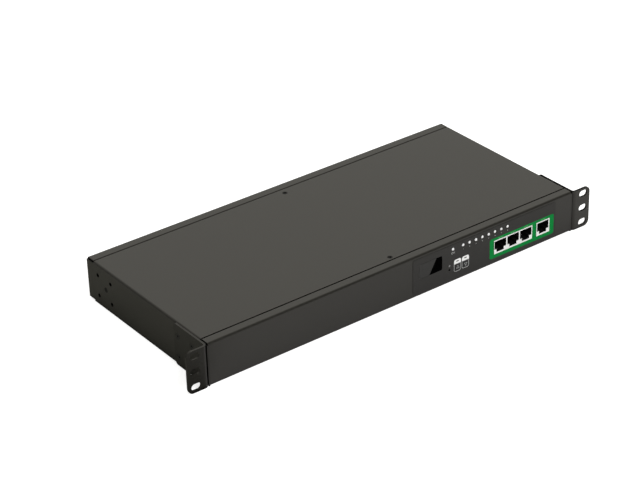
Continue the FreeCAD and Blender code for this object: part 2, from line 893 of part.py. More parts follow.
def floor_board(x0, x1, y0, y1, holes):
    board = box(x0, x1, y0, y1, board_bottom, board_top)
    tools = [cylinder(spacer_bore, vector(x, y, board_bottom - PAST), Z_AXIS, 2 * PAST) for x, y in holes]
    return cut_all(board, tools)


def board_standoffs():
    standoffs = []
    for x, y in sum(standoff_positions(), []):
        standoff = cylinder(standoff_radius, vector(x, y, floor), Z_AXIS, board_bottom - floor)
        bore = cylinder(spacer_bore, vector(x, y, board_bottom - spacer_bore_depth), Z_AXIS,
                        spacer_bore_depth)
        standoffs.append(standoff.cut(bore))
    return group(standoffs)


def board_screws():
    length = board_thickness + spacer_bore_depth - screw_end
    return group([board_screw(vector(x, y, board_top), -Z_AXIS, length) for x,
                  y in sum(standoff_positions(), [])])


def board_header():
    """Connector between the upright board and the one on the floor."""
    x = film_left + header_x
    return box(x, x + header_width, display_board_rear, display_board_rear + header_depth, board_top,
               board_top + header_height)


def control_chips():
    """Processor, memory and the network port's transformer."""
    chips = []
    for width, depth, height, x, y in (processor, memory, network_transformer):
        chips.append(box(film_left + x - width / 2, film_left + x + width / 2,
                         control_front + y - depth / 2,
                         control_front + y + depth / 2, board_top, board_top + height))
    return group(chips)


def supply_transformer():
    """Ferrite core, with its wound bobbin standing out front and back."""
    x = (supply_x0 + supply_x1) / 2
    y = (supply_y0 + supply_y1) / 2
    core = box(x - transformer_width / 2, x + transformer_width / 2, y - core_depth / 2, y + core_depth / 2,
               board_top, board_top + transformer_height)
    bobbin = cylinder(bobbin_radius, vector(x, y - bobbin_depth / 2, board_top + transformer_height / 2),
                      Y_AXIS,
                      bobbin_depth)
    return fuse_all(core, [bobbin])


def supply_capacitors():
    x = supply_x0 + component_inset
    y = (supply_y0 + supply_y1) / 2
    return group([cylinder(capacitor_radius, vector(x, y + side * capacitor_pitch / 2, board_top), Z_AXIS,
                           capacitor_height) for side in (-1, 1)])


# Rear outlets and inlet


def keyed_outline(x, y, width, height, chamfer):
    """An outlet's outline, with its two upper corners cut off."""
    u, v = width / 2, height / 2
    points = [(-u, -v), (u, -v), (u, v - chamfer), (u - chamfer, v), (chamfer - u, v), (-u, v - chamfer)]
    return [vector(x + a, y, b) for a, b in points]


def outlet_slots(x):
    """Middles of the line, neutral and earth slots."""
    return [(x - outlet_slot_spread, -outlet_slot_drop), (x + outlet_slot_spread, -outlet_slot_drop),
            (x, outlet_slot_drop)]


def outlet(x):
    """A snap-in outlet: flange, body, the channel round its block, and three slots."""
    face = rear + outlet_flange
    back = rear_inside - outlet_body_depth
    flange = panel_block(x, 0, outlet_flange_width, outlet_flange_height, outlet_flange_corner, rear, face)
    half_x, half_z = outlet_body_width / 2, outlet_body_height / 2
    body = box(x - half_x, x + half_x, back, rear, -half_z, half_z)
    latches = []
    for side in (-1, 1):
        at = rear_inside - sheet_clearance
        points = [vector(x + side * half_x, at, -latch_width / 2)]
        points.append(vector(x + side * (half_x + latch_height), at, -latch_width / 2))
        points.append(vector(x + side * half_x, at - latch_length, -latch_width / 2))
        latches.append(prism(points, vector(0, 0, latch_width)))
    channel = prism(keyed_outline(x, face - outlet_cavity_depth, outlet_cavity_width, outlet_cavity_height,
                                  outlet_chamfer), vector(0, outlet_cavity_depth + PAST, 0))
    rim = (outlet_cavity_height - outlet_block_height) / 2
    block = prism(keyed_outline(x, face - outlet_cavity_depth - rim, outlet_block_width,
                                outlet_block_height,
                                outlet_chamfer - rim * (2 - math.sqrt(2))),
                  vector(0, outlet_cavity_depth + rim, 0))
    shape = fuse_all(flange, [body] + latches).cut(channel).fuse(block)
    tools = []
    for u, v in outlet_slots(x):
        half = outlet_slot_width / 2
        tools.append(box(u - half, u + half, face - outlet_slot_depth, face + PAST,
                         v - outlet_slot_height / 2,
                         v + outlet_slot_height / 2))
        half = tail_thickness / 2
        tools.append(box(u - half, u + half, back - PAST, face - outlet_slot_depth, v - tail_width / 2,
                         v + tail_width / 2))
    return cut_all(shape, tools)


def outlet_contacts():
    """Brass blades from inside each slot through to the relay board."""
    blades = []
    start = relay_board_front - tail_past_board
    end = rear + outlet_flange - tail_start
    half = tail_thickness / 2
    for x in outlet_positions():
        for u, v in outlet_slots(x):
            blades.append(box(u - half, u + half, start, end, v - tail_width / 2, v + tail_width / 2))
    return group(blades)


def inlet_pin_places():
    """Middles of the line, neutral and earth pins."""
    return [(inlet_x - inlet_pin_spread, -inlet_pin_drop), (inlet_x + inlet_pin_spread, -inlet_pin_drop),
            (inlet_x, inlet_pin_drop)]


def power_inlet():
    """A screw-fixed inlet: flange, deep shroud and a back wall that holds the pins."""
    face = rear + inlet_flange
    back = rear_inside - inlet_body_depth
    flange = panel_block(inlet_x, 0, inlet_flange_width, inlet_flange_height, inlet_flange_corner, rear,
                         face)
    half_x, half_z = inlet_body_width / 2, inlet_body_height / 2
    body = box(inlet_x - half_x, inlet_x + half_x, back, rear, -half_z, half_z)
    tools = [panel_block(inlet_x, 0, inlet_cavity_width, inlet_cavity_height, inlet_cavity_corner,
                         face - inlet_cavity_depth, face + PAST)]
    for x, z in inlet_pin_places():
        tools.append(box(x - inlet_pin_width / 2, x + inlet_pin_width / 2, back - PAST, face,
                         z - inlet_pin_thickness / 2, z + inlet_pin_thickness / 2))
    for side in (-1, 1):
        seat = vector(inlet_x + side * inlet_screw_spread, face, 0)
        tools.append(countersink(seat, -Y_AXIS, inlet_screw_radius, inlet_screw_head_radius))
    return cut_all(fuse_all(flange, [body]), tools)


def inlet_pins():
    """Flat pins with narrower solder tails behind the inlet."""
    back = rear_inside - inlet_body_depth
    root = rear + inlet_flange - inlet_cavity_depth
    pins = []
    for x, z in inlet_pin_places():
        pin = box(x - inlet_pin_width / 2, x + inlet_pin_width / 2, back, root + inlet_pin_length,
                  z - inlet_pin_thickness / 2, z + inlet_pin_thickness / 2)
        tail = box(x - inlet_tail_width / 2, x + inlet_tail_width / 2, tail_end, back,
                   z - inlet_tail_thickness / 2, z + inlet_tail_thickness / 2)
        pins.append(fuse_all(pin, [tail]))
    return group(pins)


def inlet_screws():
    length = inlet_flange + pan_sheet + inlet_nut_height + screw_end
    return group([sunk_screw(vector(inlet_x + side * inlet_screw_spread, rear + inlet_flange, 0), -Y_AXIS,
                             inlet_screw_radius, inlet_screw_head_radius, length) for side in (-1, 1)])


def inlet_nuts():
    nuts = []
    for side in (-1, 1):
        seat = vector(inlet_x + side * inlet_screw_spread, rear_inside, 0)
        nut = hexagon(inlet_nut_width, seat, inlet_nut_height, -Y_AXIS, Z_AXIS)
        nuts.append(nut.cut(cylinder(inlet_screw_radius, seat, -Y_AXIS, inlet_nut_height)))
    return group(nuts)


# Relay board and mains wiring


def bracket_screw_height():
    return floor + bracket_screw_z


def relay_board():
    """Upright board behind the outlets, which takes their blades."""
    half = relay_board_height / 2
    board = box(relay_board_left, relay_board_end, relay_board_front, relay_board_rear,
                -half, half)
    tools = []
    for x in outlet_positions():
        for u, v in outlet_slots(x):
            reach = tail_thickness / 2 + screw_clearance
            rise = tail_width / 2 + screw_clearance
            tools.append(box(u - reach, u + reach, relay_board_front - PAST, relay_board_rear + PAST,
                             v - rise,
                             v + rise))
    for x in bracket_positions():
        tools.append(through_y(spacer_bore, x, bracket_screw_height(), relay_board_front - PAST,
                               relay_board_rear + PAST))
    return cut_all(board, tools)


def outlet_relays():
    """One relay in front of the board for each outlet, clear of the outlet's blades."""
    face = relay_board_front - tail_past_board - relay_depth
    relays = []
    for x in outlet_positions():
        relay = box(x - relay_width / 2, x + relay_width / 2, face, relay_board_front,
                    relay_z - relay_height / 2,
                    relay_z + relay_height / 2)
        slots = outlet_slots(x)
        half_u = tail_thickness / 2 + screw_clearance
        half_v = tail_width / 2 + screw_clearance
        wells = [box(u - half_u, u + half_u, relay_board_front - tail_past_board - screw_clearance,
                     relay_board_front, v - half_v, v + half_v) for u, v in slots]
        relays.append(relay.cut(group(wells)))
    return group(relays)


def relay_brackets():
    """Small angles that stand on the floor and hold the relay board."""
    half = bracket_sheet / 2
    brackets = []
    for x in bracket_positions():
        points = [(relay_board_front - bracket_foot, floor + half),
                  (relay_board_front - half, floor + half),
                  (relay_board_front - half, floor + bracket_height)]
        bracket = folded_sheet(points, [bracket_bend], bracket_sheet,
                               lambda y, z, x=x: vector(x - bracket_width / 2, y, z),
                               vector(bracket_width, 0, 0))
        hole = through_y(spacer_bore, x, bracket_screw_height(), relay_board_front - PAST,
                         relay_board_front + PAST)
        brackets.append(bracket.cut(hole))
    return group(brackets)


def relay_bracket_screws():
    length = bracket_sheet + board_thickness + screw_end
    face = relay_board_front - bracket_sheet
    return group([board_screw(vector(x, face, bracket_screw_height()), Y_AXIS,
                              length) for x in bracket_positions()])


def live_end():
    return relay_board_left + sensor_from_left


def current_sensor():
    """Ring-type sensor on the relay board, round the live wire."""
    x, z = live_end(), -inlet_pin_drop
    half = sensor_size / 2
    case = box(x - half, x + half, relay_board_front - sensor_depth, relay_board_front, z - half, z + half)
    return case.cut(through_y(sensor_bore, x, z, relay_board_front - sensor_depth - PAST,
                              relay_board_front + PAST))


def loop_wire(start_x, end_x, reach, bend):
    """A wire out of the inlet's tail and round to the relay board."""
    z = -inlet_pin_drop
    points = [vector(start_x, tail_end, z), vector(start_x, tail_end - reach, z),
              vector(end_x, tail_end - reach, z),
              vector(end_x, relay_board_front, z)]
    return wire_run(points, bend, mains_wire_radius)


def live_wire():
    return loop_wire(inlet_x - inlet_pin_spread, live_end(), live_loop, live_bend)


def neutral_wire():
    return loop_wire(inlet_x + inlet_pin_spread, relay_board_left + neutral_from_left, neutral_loop,
                     neutral_bend)


def lug_axis():
    """Height of the earth lug's barrel and where the wire meets it."""
    return floor + lug_barrel_radius, earth_wire_end


def earth_wire():
    z, end = lug_axis()
    low = max(z, floor + mains_wire_radius)
    points = [vector(inlet_x, tail_end, inlet_pin_drop),
              vector(inlet_x, tail_end - earth_loop, inlet_pin_drop),
              vector(inlet_x, tail_end - earth_loop, low), vector(inlet_x, end, low)]
    return wire_run(points, earth_bend, mains_wire_radius)


def stud_y():
    return lug_front + lug_length / 2


def earth_lug():
    """Crimped barrel with a flat tongue on the floor."""
    z, end = lug_axis()
    barrel = cylinder(lug_barrel_radius, vector(inlet_x, end, z), -Y_AXIS, lug_barrel_length)
    tongue = box(inlet_x - lug_width / 2, inlet_x + lug_width / 2, lug_front,
                 end - lug_barrel_length / 2, floor, floor + lug_sheet)
    lug = fuse_all(barrel, [tongue])
    hole = cylinder(stud_radius + screw_clearance, vector(inlet_x, stud_y(), floor - PAST), Z_AXIS,
                    2 * PAST)
    return lug.cut(hole)


def earth_stud():
    return cylinder(stud_radius, vector(inlet_x, stud_y(), floor), Z_AXIS, stud_height)


def earth_nut():
    seat = vector(inlet_x, stud_y(), floor + lug_sheet)
    nut = hexagon(stud_nut_width, seat, stud_nut_height, Z_AXIS, X_AXIS)
    return nut.cut(cylinder(stud_radius, seat, Z_AXIS, stud_nut_height))


def supply_feed_wires():
    """Two wires from the relay board to the low-voltage supply."""
    middle = first_outlet + outlet_pitch / 2
    end = supply_y1 - 2 * board_hole_inset
    wires = []
    for side in (-1, 1):
        x = middle + side * feed_wire_spread
        points = [vector(x, relay_board_front, feed_z), vector(x, end, feed_z), vector(x, end, board_top)]
        wires.append(wire_run(points, feed_bend, feed_wire_radius))
    return group(wires)


def supply_lead():
    """Lead from the supply to the control board."""
    y = min(supply_y1, control_rear) - component_inset
    high = board_top + lead_rise
    x0, x1 = supply_x1 - lead_inset, control_left + lead_inset
    points = [vector(x0, y, board_top), vector(x0, y, high), vector(x1, y, high), vector(x1, y, board_top)]
    return wire_run(points, lead_bend, lead_radius)


def ribbon_plugs():
    """Plugs at the ribbon's ends, one on each board."""
    x = ribbon_x
    y = control_rear - plug_inset
    on_control = box(x - plug_width / 2, x + plug_width / 2, y, y + plug_depth, board_top,
                     board_top + plug_height)
    on_relay = box(x - plug_width / 2, x + plug_width / 2, relay_board_front - plug_depth,
                   relay_board_front,
                   board_top, board_top + plug_height)
    return group([on_control, on_relay])


def signal_ribbon():
    """Flat ribbon between the two plugs."""
    x = ribbon_x
    z = board_top + plug_height / 2
    return box(x - ribbon_width / 2, x + ribbon_width / 2, control_rear - plug_inset + plug_depth,
               relay_board_front - plug_depth, z - ribbon_thickness / 2, z + ribbon_thickness / 2)


control_holes, supply_holes = standoff_positions()
ear = right_ear()
keys = key_positions()
parts = {
    "base_pan": base_pan(),
    "top_cover": top_cover(),
    "right_rack_ear": ear,
    "left_rack_ear": ear.mirror(vector(0, 0, 0), X_AXIS),
    "ear_screws": ear_screws(),
    "cover_screws": cover_screws(),
    "front_overlay": front_overlay(),
    "display_window": display_window(),
    "display_module": display_module(),
    "status_lamp": lamp(film_left + status_lamp_x),
    "outlet_lamps": group([lamp(x) for x in lamp_positions()]),
    "up_key": key(keys[0]),
    "down_key": key(keys[1]),
    "up_key_plunger": plunger(keys[0]),
    "down_key_plunger": plunger(keys[1]),
    "reset_plunger": plunger(pinhole_position()),
    "key_switches": key_switches(),
    "display_board": display_board(),
    "display_spacers": display_spacers(),
    "display_screws": display_screws(),
    "port_block": port_housing(film_left + port_block_x, port_block_width, port_positions()),
    "network_port": port_housing(film_left + network_port_x, network_port_width,
                                 [film_left + network_port_x]),
    "port_contacts": port_contacts(),
    "control_board": floor_board(control_left, control_right, control_front, control_rear, control_holes),
    "control_chips": control_chips(),
    "board_standoffs": board_standoffs(),
    "board_screws": board_screws(),
    "board_header": board_header(),
    "outlet_contacts": outlet_contacts(),
    "power_inlet": power_inlet(),
    "inlet_pins": inlet_pins(),
    "inlet_screws": inlet_screws(),
    "inlet_nuts": inlet_nuts(),
    "relay_board": relay_board(),
    "outlet_relays": outlet_relays(),
    "relay_brackets": relay_brackets(),
    "relay_bracket_screws": relay_bracket_screws(),
    "current_sensor": current_sensor(),
    "live_wire": live_wire(),
    "neutral_wire": neutral_wire(),
    "earth_wire": earth_wire(),
    "earth_lug": earth_lug(),
    "earth_stud": earth_stud(),
    "earth_nut": earth_nut(),
    "supply_board": floor_board(supply_x0, supply_x1, supply_y0, supply_y1, supply_holes),
    "supply_transformer": supply_transformer(),
    "supply_capacitors": supply_capacitors(),
    "supply_feed_wires": supply_feed_wires(),
    "supply_lead": supply_lead(),
    "signal_ribbon": signal_ribbon(),
    "ribbon_plugs": ribbon_plugs(),
}
for number, position in enumerate(outlet_positions(), 1):
    parts["outlet_%d" % number] = outlet(position)

os.makedirs("parts", exist_ok=True)
for name, shape in parts.items():
    shape.exportStep("parts/" + name + ".step")
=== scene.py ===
"""Finishes, print, screws and studio for a one-unit rack power unit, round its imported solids."""

from functools import partial, wraps
import json
import math

import bmesh
import bpy
from bpy.props import FloatProperty, FloatVectorProperty, IntProperty, PointerProperty
from mathutils import Matrix, Vector


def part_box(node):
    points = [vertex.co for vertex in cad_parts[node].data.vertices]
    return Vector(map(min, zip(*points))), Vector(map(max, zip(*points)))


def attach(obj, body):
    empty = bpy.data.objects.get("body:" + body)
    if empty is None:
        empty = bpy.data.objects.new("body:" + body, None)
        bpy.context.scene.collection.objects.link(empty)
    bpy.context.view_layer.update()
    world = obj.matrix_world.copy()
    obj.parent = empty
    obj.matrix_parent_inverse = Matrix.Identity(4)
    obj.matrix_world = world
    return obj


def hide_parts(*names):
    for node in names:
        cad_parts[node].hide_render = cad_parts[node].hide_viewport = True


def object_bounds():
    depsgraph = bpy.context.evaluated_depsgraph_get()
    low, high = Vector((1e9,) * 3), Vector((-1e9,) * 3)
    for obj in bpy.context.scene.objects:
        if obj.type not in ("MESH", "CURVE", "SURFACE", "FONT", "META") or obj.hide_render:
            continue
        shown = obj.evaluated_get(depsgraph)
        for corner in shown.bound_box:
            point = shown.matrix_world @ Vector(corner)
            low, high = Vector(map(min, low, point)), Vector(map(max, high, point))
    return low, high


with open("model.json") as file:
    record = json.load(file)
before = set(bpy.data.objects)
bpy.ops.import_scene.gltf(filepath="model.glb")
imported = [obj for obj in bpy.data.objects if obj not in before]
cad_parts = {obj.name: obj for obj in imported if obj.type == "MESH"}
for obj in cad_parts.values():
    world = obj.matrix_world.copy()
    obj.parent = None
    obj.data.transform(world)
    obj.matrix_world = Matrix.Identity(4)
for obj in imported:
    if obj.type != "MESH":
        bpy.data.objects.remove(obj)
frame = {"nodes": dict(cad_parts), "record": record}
cad_low, cad_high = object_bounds()

bl_info = {
    "name": "Rack power unit",
    "version": (1, 0, 0),
    "blender": (4, 5, 0),
    "location": "View3D > Sidebar > Rack power unit",
    "description": "Finishes, print, screws and studio for a rack power distribution unit",
    "category": "Object",
}

MM = 0.001
FRONT = Vector((0, -1, 0))
REAR = Vector((0, 1, 0))
UP = Vector((0, 0, 1))
CASE = "case"
WHITE = (1, 1, 1, 1)
BLACK = (0, 0, 0, 1)
LINING_BLACK = (0.006, 0.006, 0.006, 1)
# Black of the painted dark reflection in the window.
DARK_REFLECTION_BLACK = (0.0008, 0.0008, 0.0008, 1)
MATT = 0.9
PORTS_IN_BLOCK = 3

# Meshes: weld distance, sharp edges and the sides of rounds
WELD = 0.001 * MM
SHARP_ABOVE = math.radians(35)
CORNER_SIDES = 6
RESET_SIDES = 20
RECESS_LOBES = 6

# Screws: the recess's floor, foot and mouth over its reach, how far the lobes show, and small bevels
FLOOR_SHARE = 0.5
FOOT_SHARE = 0.9
MOUTH_SHARE = 1.05
FLOOR_LOBES = 0.5
MOUTH_LOBES = 0.9
MOUTH_DROP = 0.06 * MM
END_SHARE = 0.8
END_BEVEL = 0.3 * MM
RIM_INSET = 0.12 * MM
RIM_DROP = 0.1 * MM

# Print: a tab's mark over its tab and outline, the reset sign's line, a port's mark over its margin
TAB_MARK_DROP = 0.46
TAB_MARK_WIDTH = 0.37
TAB_MARK_HEIGHT = 0.22
TAB_MARK_CORNER = 0.1
RESET_LINE = 0.4
PORT_MARK_HEIGHT = 0.25
PORT_MARK_CORNER = 0.1

# Finishes: second grain, roughness, occlusion where painted crevice shade starts, upward slope of faces
# painted black as shade, white of a housing
FINE_SCALE = 2.7
FINE_SHARE = 0.35
ROUGHNESS_SPREAD = 0.06
LEAST_ROUGHNESS = 0.02
CREVICE_SHADE_START = 0.65
SHADED_TOP_SLOPE = 0.8
HOUSING_FACE = 0.06 * MM
HOUSING_CAP = 0.5 * MM

# Room: where the backdrop starts and is full, as the cosine from its middle
BACKDROP_START = 0.35
BACKDROP_FULL = 0.75


def middle(node):
    """Middle of a solid's box."""
    low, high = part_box(node)
    return (low + high) / 2


film_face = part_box("front_overlay")[0].y
wall_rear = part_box("base_pan")[1].y
lamp_low, lamp_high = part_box("outlet_lamps")
lamp_radius = (lamp_high.z - lamp_low.z) / 2
outlet_count = sum(name.removeprefix("outlet_").isdigit() for name in frame["nodes"])


def port_places():
    """Middles of the block's three ports and of the network port."""
    low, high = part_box("port_block")
    pitch = (high.x - low.x) / PORTS_IN_BLOCK
    places = [low.x + pitch * (turn + 0.5) for turn in range(PORTS_IN_BLOCK)]
    return places + [middle("network_port").x]


LengthProperty = partial(FloatProperty, unit="LENGTH")
ShareProperty = partial(FloatProperty, subtype="FACTOR", min=0, max=1)
ColorProperty = partial(FloatVectorProperty, subtype="COLOR", size=3, min=0, max=1)


class CoatSettings(bpy.types.PropertyGroup):
    """Powder coat of the case and the ears."""

    color: ColorProperty(
        name="Coat colour", description="Colour of the powder coat", default=(0.0131, 0.0124, 0.0103))
    roughness: ShareProperty(
        name="Coat roughness", description="Roughness of the powder coat", default=0.42)
    grain: LengthProperty(
        name="Grain size", description="Width of one grain of the powder coat", default=0.0006)
    depth: LengthProperty(
        name="Grain depth", description="Height of the coat's grain", default=0.00002)
    sheen: ColorProperty(
        name="Sheen tint", description="Tint of the light that the coat mirrors",
        default=(1.0, 0.965, 0.93))
    # Painted shade: within this width the coat's colour is darkened towards black in seams and crevices.
    crevice: LengthProperty(
        name="Crevice shade width", description="Width of the seams that the coat darkens in", default=0.004)
    gloss: ShareProperty(
        name="Coat gloss", description="Mirror level of the powder coat", default=0.5)
    # Painted shade: the left ear alone gets less gloss, a shaded copy of the coat that reads darker.
    ear_gloss: ShareProperty(
        name="Left ear shaded gloss", description="Mirror level of the left ear's duller coat", default=0.33)


class PanelSettings(bpy.types.PropertyGroup):
    """Film and print of the control panel."""

    film_color: ColorProperty(
        name="Film colour", description="Colour of the panel's film", default=(0.0105, 0.0102, 0.0094))
    ink_color: ColorProperty(
        name="Ink colour", description="Colour of the light print", default=(0.86, 0.86, 0.85))
    field_color: ColorProperty(
        name="Field colour", description="Colour of the field round the ports",
        default=(0.0006, 0.213, 0.039))
    mark_color: ColorProperty(
        name="Port mark colour", description="Colour of the marks above the ports",
        default=(0.1, 0.36, 0.13))
    ink_height: LengthProperty(
        name="Ink height", description="Thickness of the print", default=0.00004)
    frame_width: LengthProperty(
        name="Key frame width", description="Width of the outline round a key", default=0.0087)
    frame_height: LengthProperty(
        name="Key frame height", description="Height of the outline round a key", default=0.0131)
    frame_line: LengthProperty(
        name="Key frame line", description="Line width of the outline round a key", default=0.0004)
    tab_height: LengthProperty(
        name="Key tab height", description="Height of the light tab above a key", default=0.0047)
    field_left: LengthProperty(
        name="Field left margin", description="Field left of the port block", default=0.00545)
    field_right: LengthProperty(
        name="Field right margin", description="Field right of the last port", default=0.00585)
    field_above: LengthProperty(
        name="Field top margin", description="Field above the ports", default=0.0029)
    field_below: LengthProperty(
        name="Field bottom margin", description="Field below the ports", default=0.00415)
    field_corner: LengthProperty(
        name="Field corner", description="Corner radius of the field", default=0.0022)
    # Painted reflection: the dark display named below is a painted dark reflection, black and without
    # gloss.
    display_edge: LengthProperty(
        name="Dark reflection edge", description="From the window's left edge to the dark display at mid height",
        default=0.0157)
    display_lean: FloatProperty(
        name="Dark reflection lean", description="Lean of the dark display's left edge", unit="ROTATION",
        default=0.522)
    port_gap: LengthProperty(
        name="Port gap", description="From a port's housing to the field", default=0.0002)
    # Painted shade: black strips left of and above the ports' openings and left of their notches.
    lip_side: LengthProperty(
        name="Port lip", description="Black lip left of a port's opening", default=0.00045)
    lip_top: LengthProperty(
        name="Port top lip", description="Black lip above a port's opening", default=0.00045)
    lip_notch: LengthProperty(
        name="Port notch lip", description="Black lip left of the latch's notch", default=0.0008)
    notch_width: LengthProperty(
        name="Port notch", description="Width of the latch's notch", default=0.0086)
    notch_height: LengthProperty(
        name="Port notch height", description="Height of the latch's notch below the sill",
        default=0.0031)
    opening_width: LengthProperty(
        name="Port opening", description="Width of a port's opening", default=0.0145)
    opening_height: LengthProperty(
        name="Port opening height", description="Height of a port's opening above its sill",
        default=0.0085)
    opening_drop: LengthProperty(
        name="Port opening drop", description="From the housing's top down to a port's opening",
        default=0.0014)
    port_mark: LengthProperty(
        name="Port mark", description="Width of the mark above a port", default=0.0066)
    frame_corner: LengthProperty(
        name="Key frame corner", description="Corner radius of the outline", default=0.002)
    frame_rise: LengthProperty(
        name="Key frame rise", description="From a key's middle up to its outline's", default=0.00208)
    line_level: ShareProperty(
        name="Line ink", description="How light the keys' outlines are printed", default=0.6)
    sign_level: ShareProperty(
        name="Sign ink", description="How light the arrows on the keys are printed", default=0.36)
    mark_level: ShareProperty(
        name="Mark ink", description="How light the lamps' and reset marks are printed", default=0.55)
    sign_size: LengthProperty(
        name="Key sign size", description="Radius of the arrow on a key", default=0.0023)
    sign_line: LengthProperty(
        name="Key sign line", description="Line width of the arrow on a key", default=0.00045)
    mark_drop: LengthProperty(
        name="Mark drop", description="From the lamps down to their marks", default=0.00425)
    on_size: LengthProperty(
        name="ON size", description="Font height of the ON mark", default=0.0029)
    number_size: LengthProperty(
        name="Lamp number size", description="Font height of the lamps' numbers", default=0.0019)
    reset_rise: LengthProperty(
        name="Reset rise", description="From the pinhole up to its sign", default=0.00425)
    reset_size: LengthProperty(
        name="Reset size", description="Radius of the reset sign", default=0.0009)


class ScrewSettings(bpy.types.PropertyGroup):
    """Heads, shanks and recesses of the screws."""

    ear_head: LengthProperty(
        name="Ear screw head", description="Radius of the ear screws' heads", default=0.0034)
    ear_shank: LengthProperty(
        name="Ear screw shank", description="Radius of the ear screws' shanks", default=0.0019)
    ear_length: LengthProperty(
        name="Ear screw length", description="Length of the ear screws", default=0.00615)
    sunk_shank: LengthProperty(
        name="Sunk screw shank", description="Radius of the countersunk screws' shanks", default=0.0014)
    cover_head: LengthProperty(
        name="Cover screw head", description="Radius of the cover screws' heads", default=0.0026)
    cover_length: LengthProperty(
        name="Cover screw length", description="Length of the cover screws", default=0.00415)
    cover_side_y: LengthProperty(
        name="Side screw place", description="How far back the cover's side screws sit", default=0.1665)
    cover_side_z: LengthProperty(
        name="Side screw height", description="Height of the cover's side screws", default=-0.0002)
    inlet_head: LengthProperty(
        name="Inlet screw head", description="Radius of the inlet screws' heads", default=0.0028)
    segments: IntProperty(
        name="Screw segments", description="Sides of a screw's round", min=12, max=96, default=36)
    recess_share: ShareProperty(
        name="Recess width", description="Width of the recess over the head's", min=0.2, max=0.8,
        default=0.6)
    ear_recess: ShareProperty(
        name="Ear recess width", description="Width of the ear screws' recess over the head's", min=0.2,
        max=0.8, default=0.36)
    side_recess: ShareProperty(
        name="Side recess width", description="Width of the cover's side screws' recess over the head's",
        min=0.2, max=0.8, default=0.22)
    lobe: ShareProperty(
        name="Lobe depth", description="Depth of the recess's six lobes over its radius", max=0.4,
        default=0.14)
    depth: LengthProperty(
        name="Recess depth", description="Depth of the recess", default=0.0009)
    color: ColorProperty(
        name="Screw colour", description="Colour of the black screws", default=(0.011, 0.011, 0.0105))
    gloss: ShareProperty(
        name="Ear screw gloss", description="Mirror level of the ear screws", default=0.3)
    dull_gloss: ShareProperty(
        name="Dull screw gloss", description="Mirror level of the cover and inlet screws", default=0.08)


class RearSettings(bpy.types.PropertyGroup):
    """Print on the rear wall."""

    number_size: LengthProperty(
        name="Number size", description="Height of the outlet numbers' font", default=0.0045)
    number_gap: LengthProperty(
        name="Number gap", description="From an outlet's flange to its number", default=0.0034)


class StageSettings(bpy.types.PropertyGroup):
    """Floor, room, lamps and camera."""

    floor_color: ColorProperty(
        name="Floor colour", description="Colour of the pale floor", default=(0.82, 0.82, 0.82))
    floor_size: LengthProperty(
        name="Floor size", description="Width of the floor", default=40.0)
    floor_gap: LengthProperty(
        name="Floor gap", description="From the floor to the underside", default=0.0002)
    floor_glow: ShareProperty(
        name="Floor white", description="White that the camera sees added to the lit floor", default=0.7)
    floor_mirror: ShareProperty(
        name="Mirrored white", description="White that glossy surfaces see added to the lit floor",
        default=0.06)
    # Painted shade: these cards darken what the left side and the left ear mirror, in place of a shaded
    # floor.
    card_color: ColorProperty(
        name="Card colour", description="Colour of the card that the left side mirrors",
        default=(0.36, 0.36, 0.31))
    card_size: LengthProperty(
        name="Card size", description="Width of that card", default=0.45)
    card_past: LengthProperty(
        name="Card past the rear", description="How far that card reaches behind the unit", default=0.15)
    ear_card_color: ColorProperty(
        name="Ear card colour", description="Colour of the card that the left ear's face mirrors",
        default=(0.05, 0.05, 0.05))
    ear_card_gap: LengthProperty(
        name="Ear card gap", description="From that card to the case's side", default=0.005)
    ear_card_width: LengthProperty(
        name="Ear card width", description="Width of that card", default=0.04)
    ear_card_depth: LengthProperty(
        name="Ear card depth", description="Depth of that card", default=0.15)
    ear_card_lean: FloatProperty(
        name="Ear card lean", description="How far that card leans right for its depth", default=0.727)
    room: ShareProperty(
        name="Room level", description="Light from the room away from the backdrop", default=0.12)
    room_color: ColorProperty(
        name="Room colour", description="Colour of the light from the backdrop and the room",
        default=(1.0, 0.985, 0.91))
    backdrop: FloatVectorProperty(
        name="Backdrop side", description="Where the white backdrop stands", subtype="DIRECTION", size=3,
        default=(0.5, 0.75, 0.3))
    key_place: FloatVectorProperty(
        name="Key lamp", description="Where the key lamp stands", subtype="TRANSLATION", unit="LENGTH",
        size=3, default=(0.1, -1.65, 1.6))
    key_power: FloatProperty(
        name="Key power", description="Power of the key lamp", unit="POWER", default=39.0)
    fill_place: FloatVectorProperty(
        name="Fill lamp", description="Where the fill lamp stands", subtype="TRANSLATION", unit="LENGTH",
        size=3, default=(-1.5, -0.9, 1.8))
    fill_power: FloatProperty(
        name="Fill power", description="Power of the fill lamp", unit="POWER", default=10.0)
    lamp_size: LengthProperty(
        name="Lamp size", description="Width of the soft lamps", default=1.4)
    camera_place: FloatVectorProperty(
        name="Camera", description="Where the camera stands", subtype="TRANSLATION", unit="LENGTH",
        size=3, default=(-1.0554835, -1.2986810, 1.0001517))
    camera_turn: FloatVectorProperty(
        name="Camera turn", description="How the camera is turned", subtype="EULER", size=3,
        default=(1.0534694, 0.0245695, -0.6526587))
    lens: FloatProperty(
        name="Lens", description="Focal length", unit="CAMERA", default=117.2763)


class UnitSettings(bpy.types.PropertyGroup):
    """All settings of the rack power unit."""

    coat: PointerProperty(type=CoatSettings)
    panel: PointerProperty(type=PanelSettings)
    screw: PointerProperty(type=ScrewSettings)
    rear: PointerProperty(type=RearSettings)
    stage: PointerProperty(type=StageSettings)


def settings():
    """The scene's settings of the unit."""
    return bpy.context.scene.rack_power_unit


# Meshes


def seat(point, outward):
    """Frame of a flat face: its own X to the viewer's right, Y up and Z outwards."""
    up = UP if abs(outward.z) < 0.5 else REAR
    right = up.cross(outward)
    return Matrix.Translation(point) @ Matrix((right, up, outward)).transposed().to_4x4()


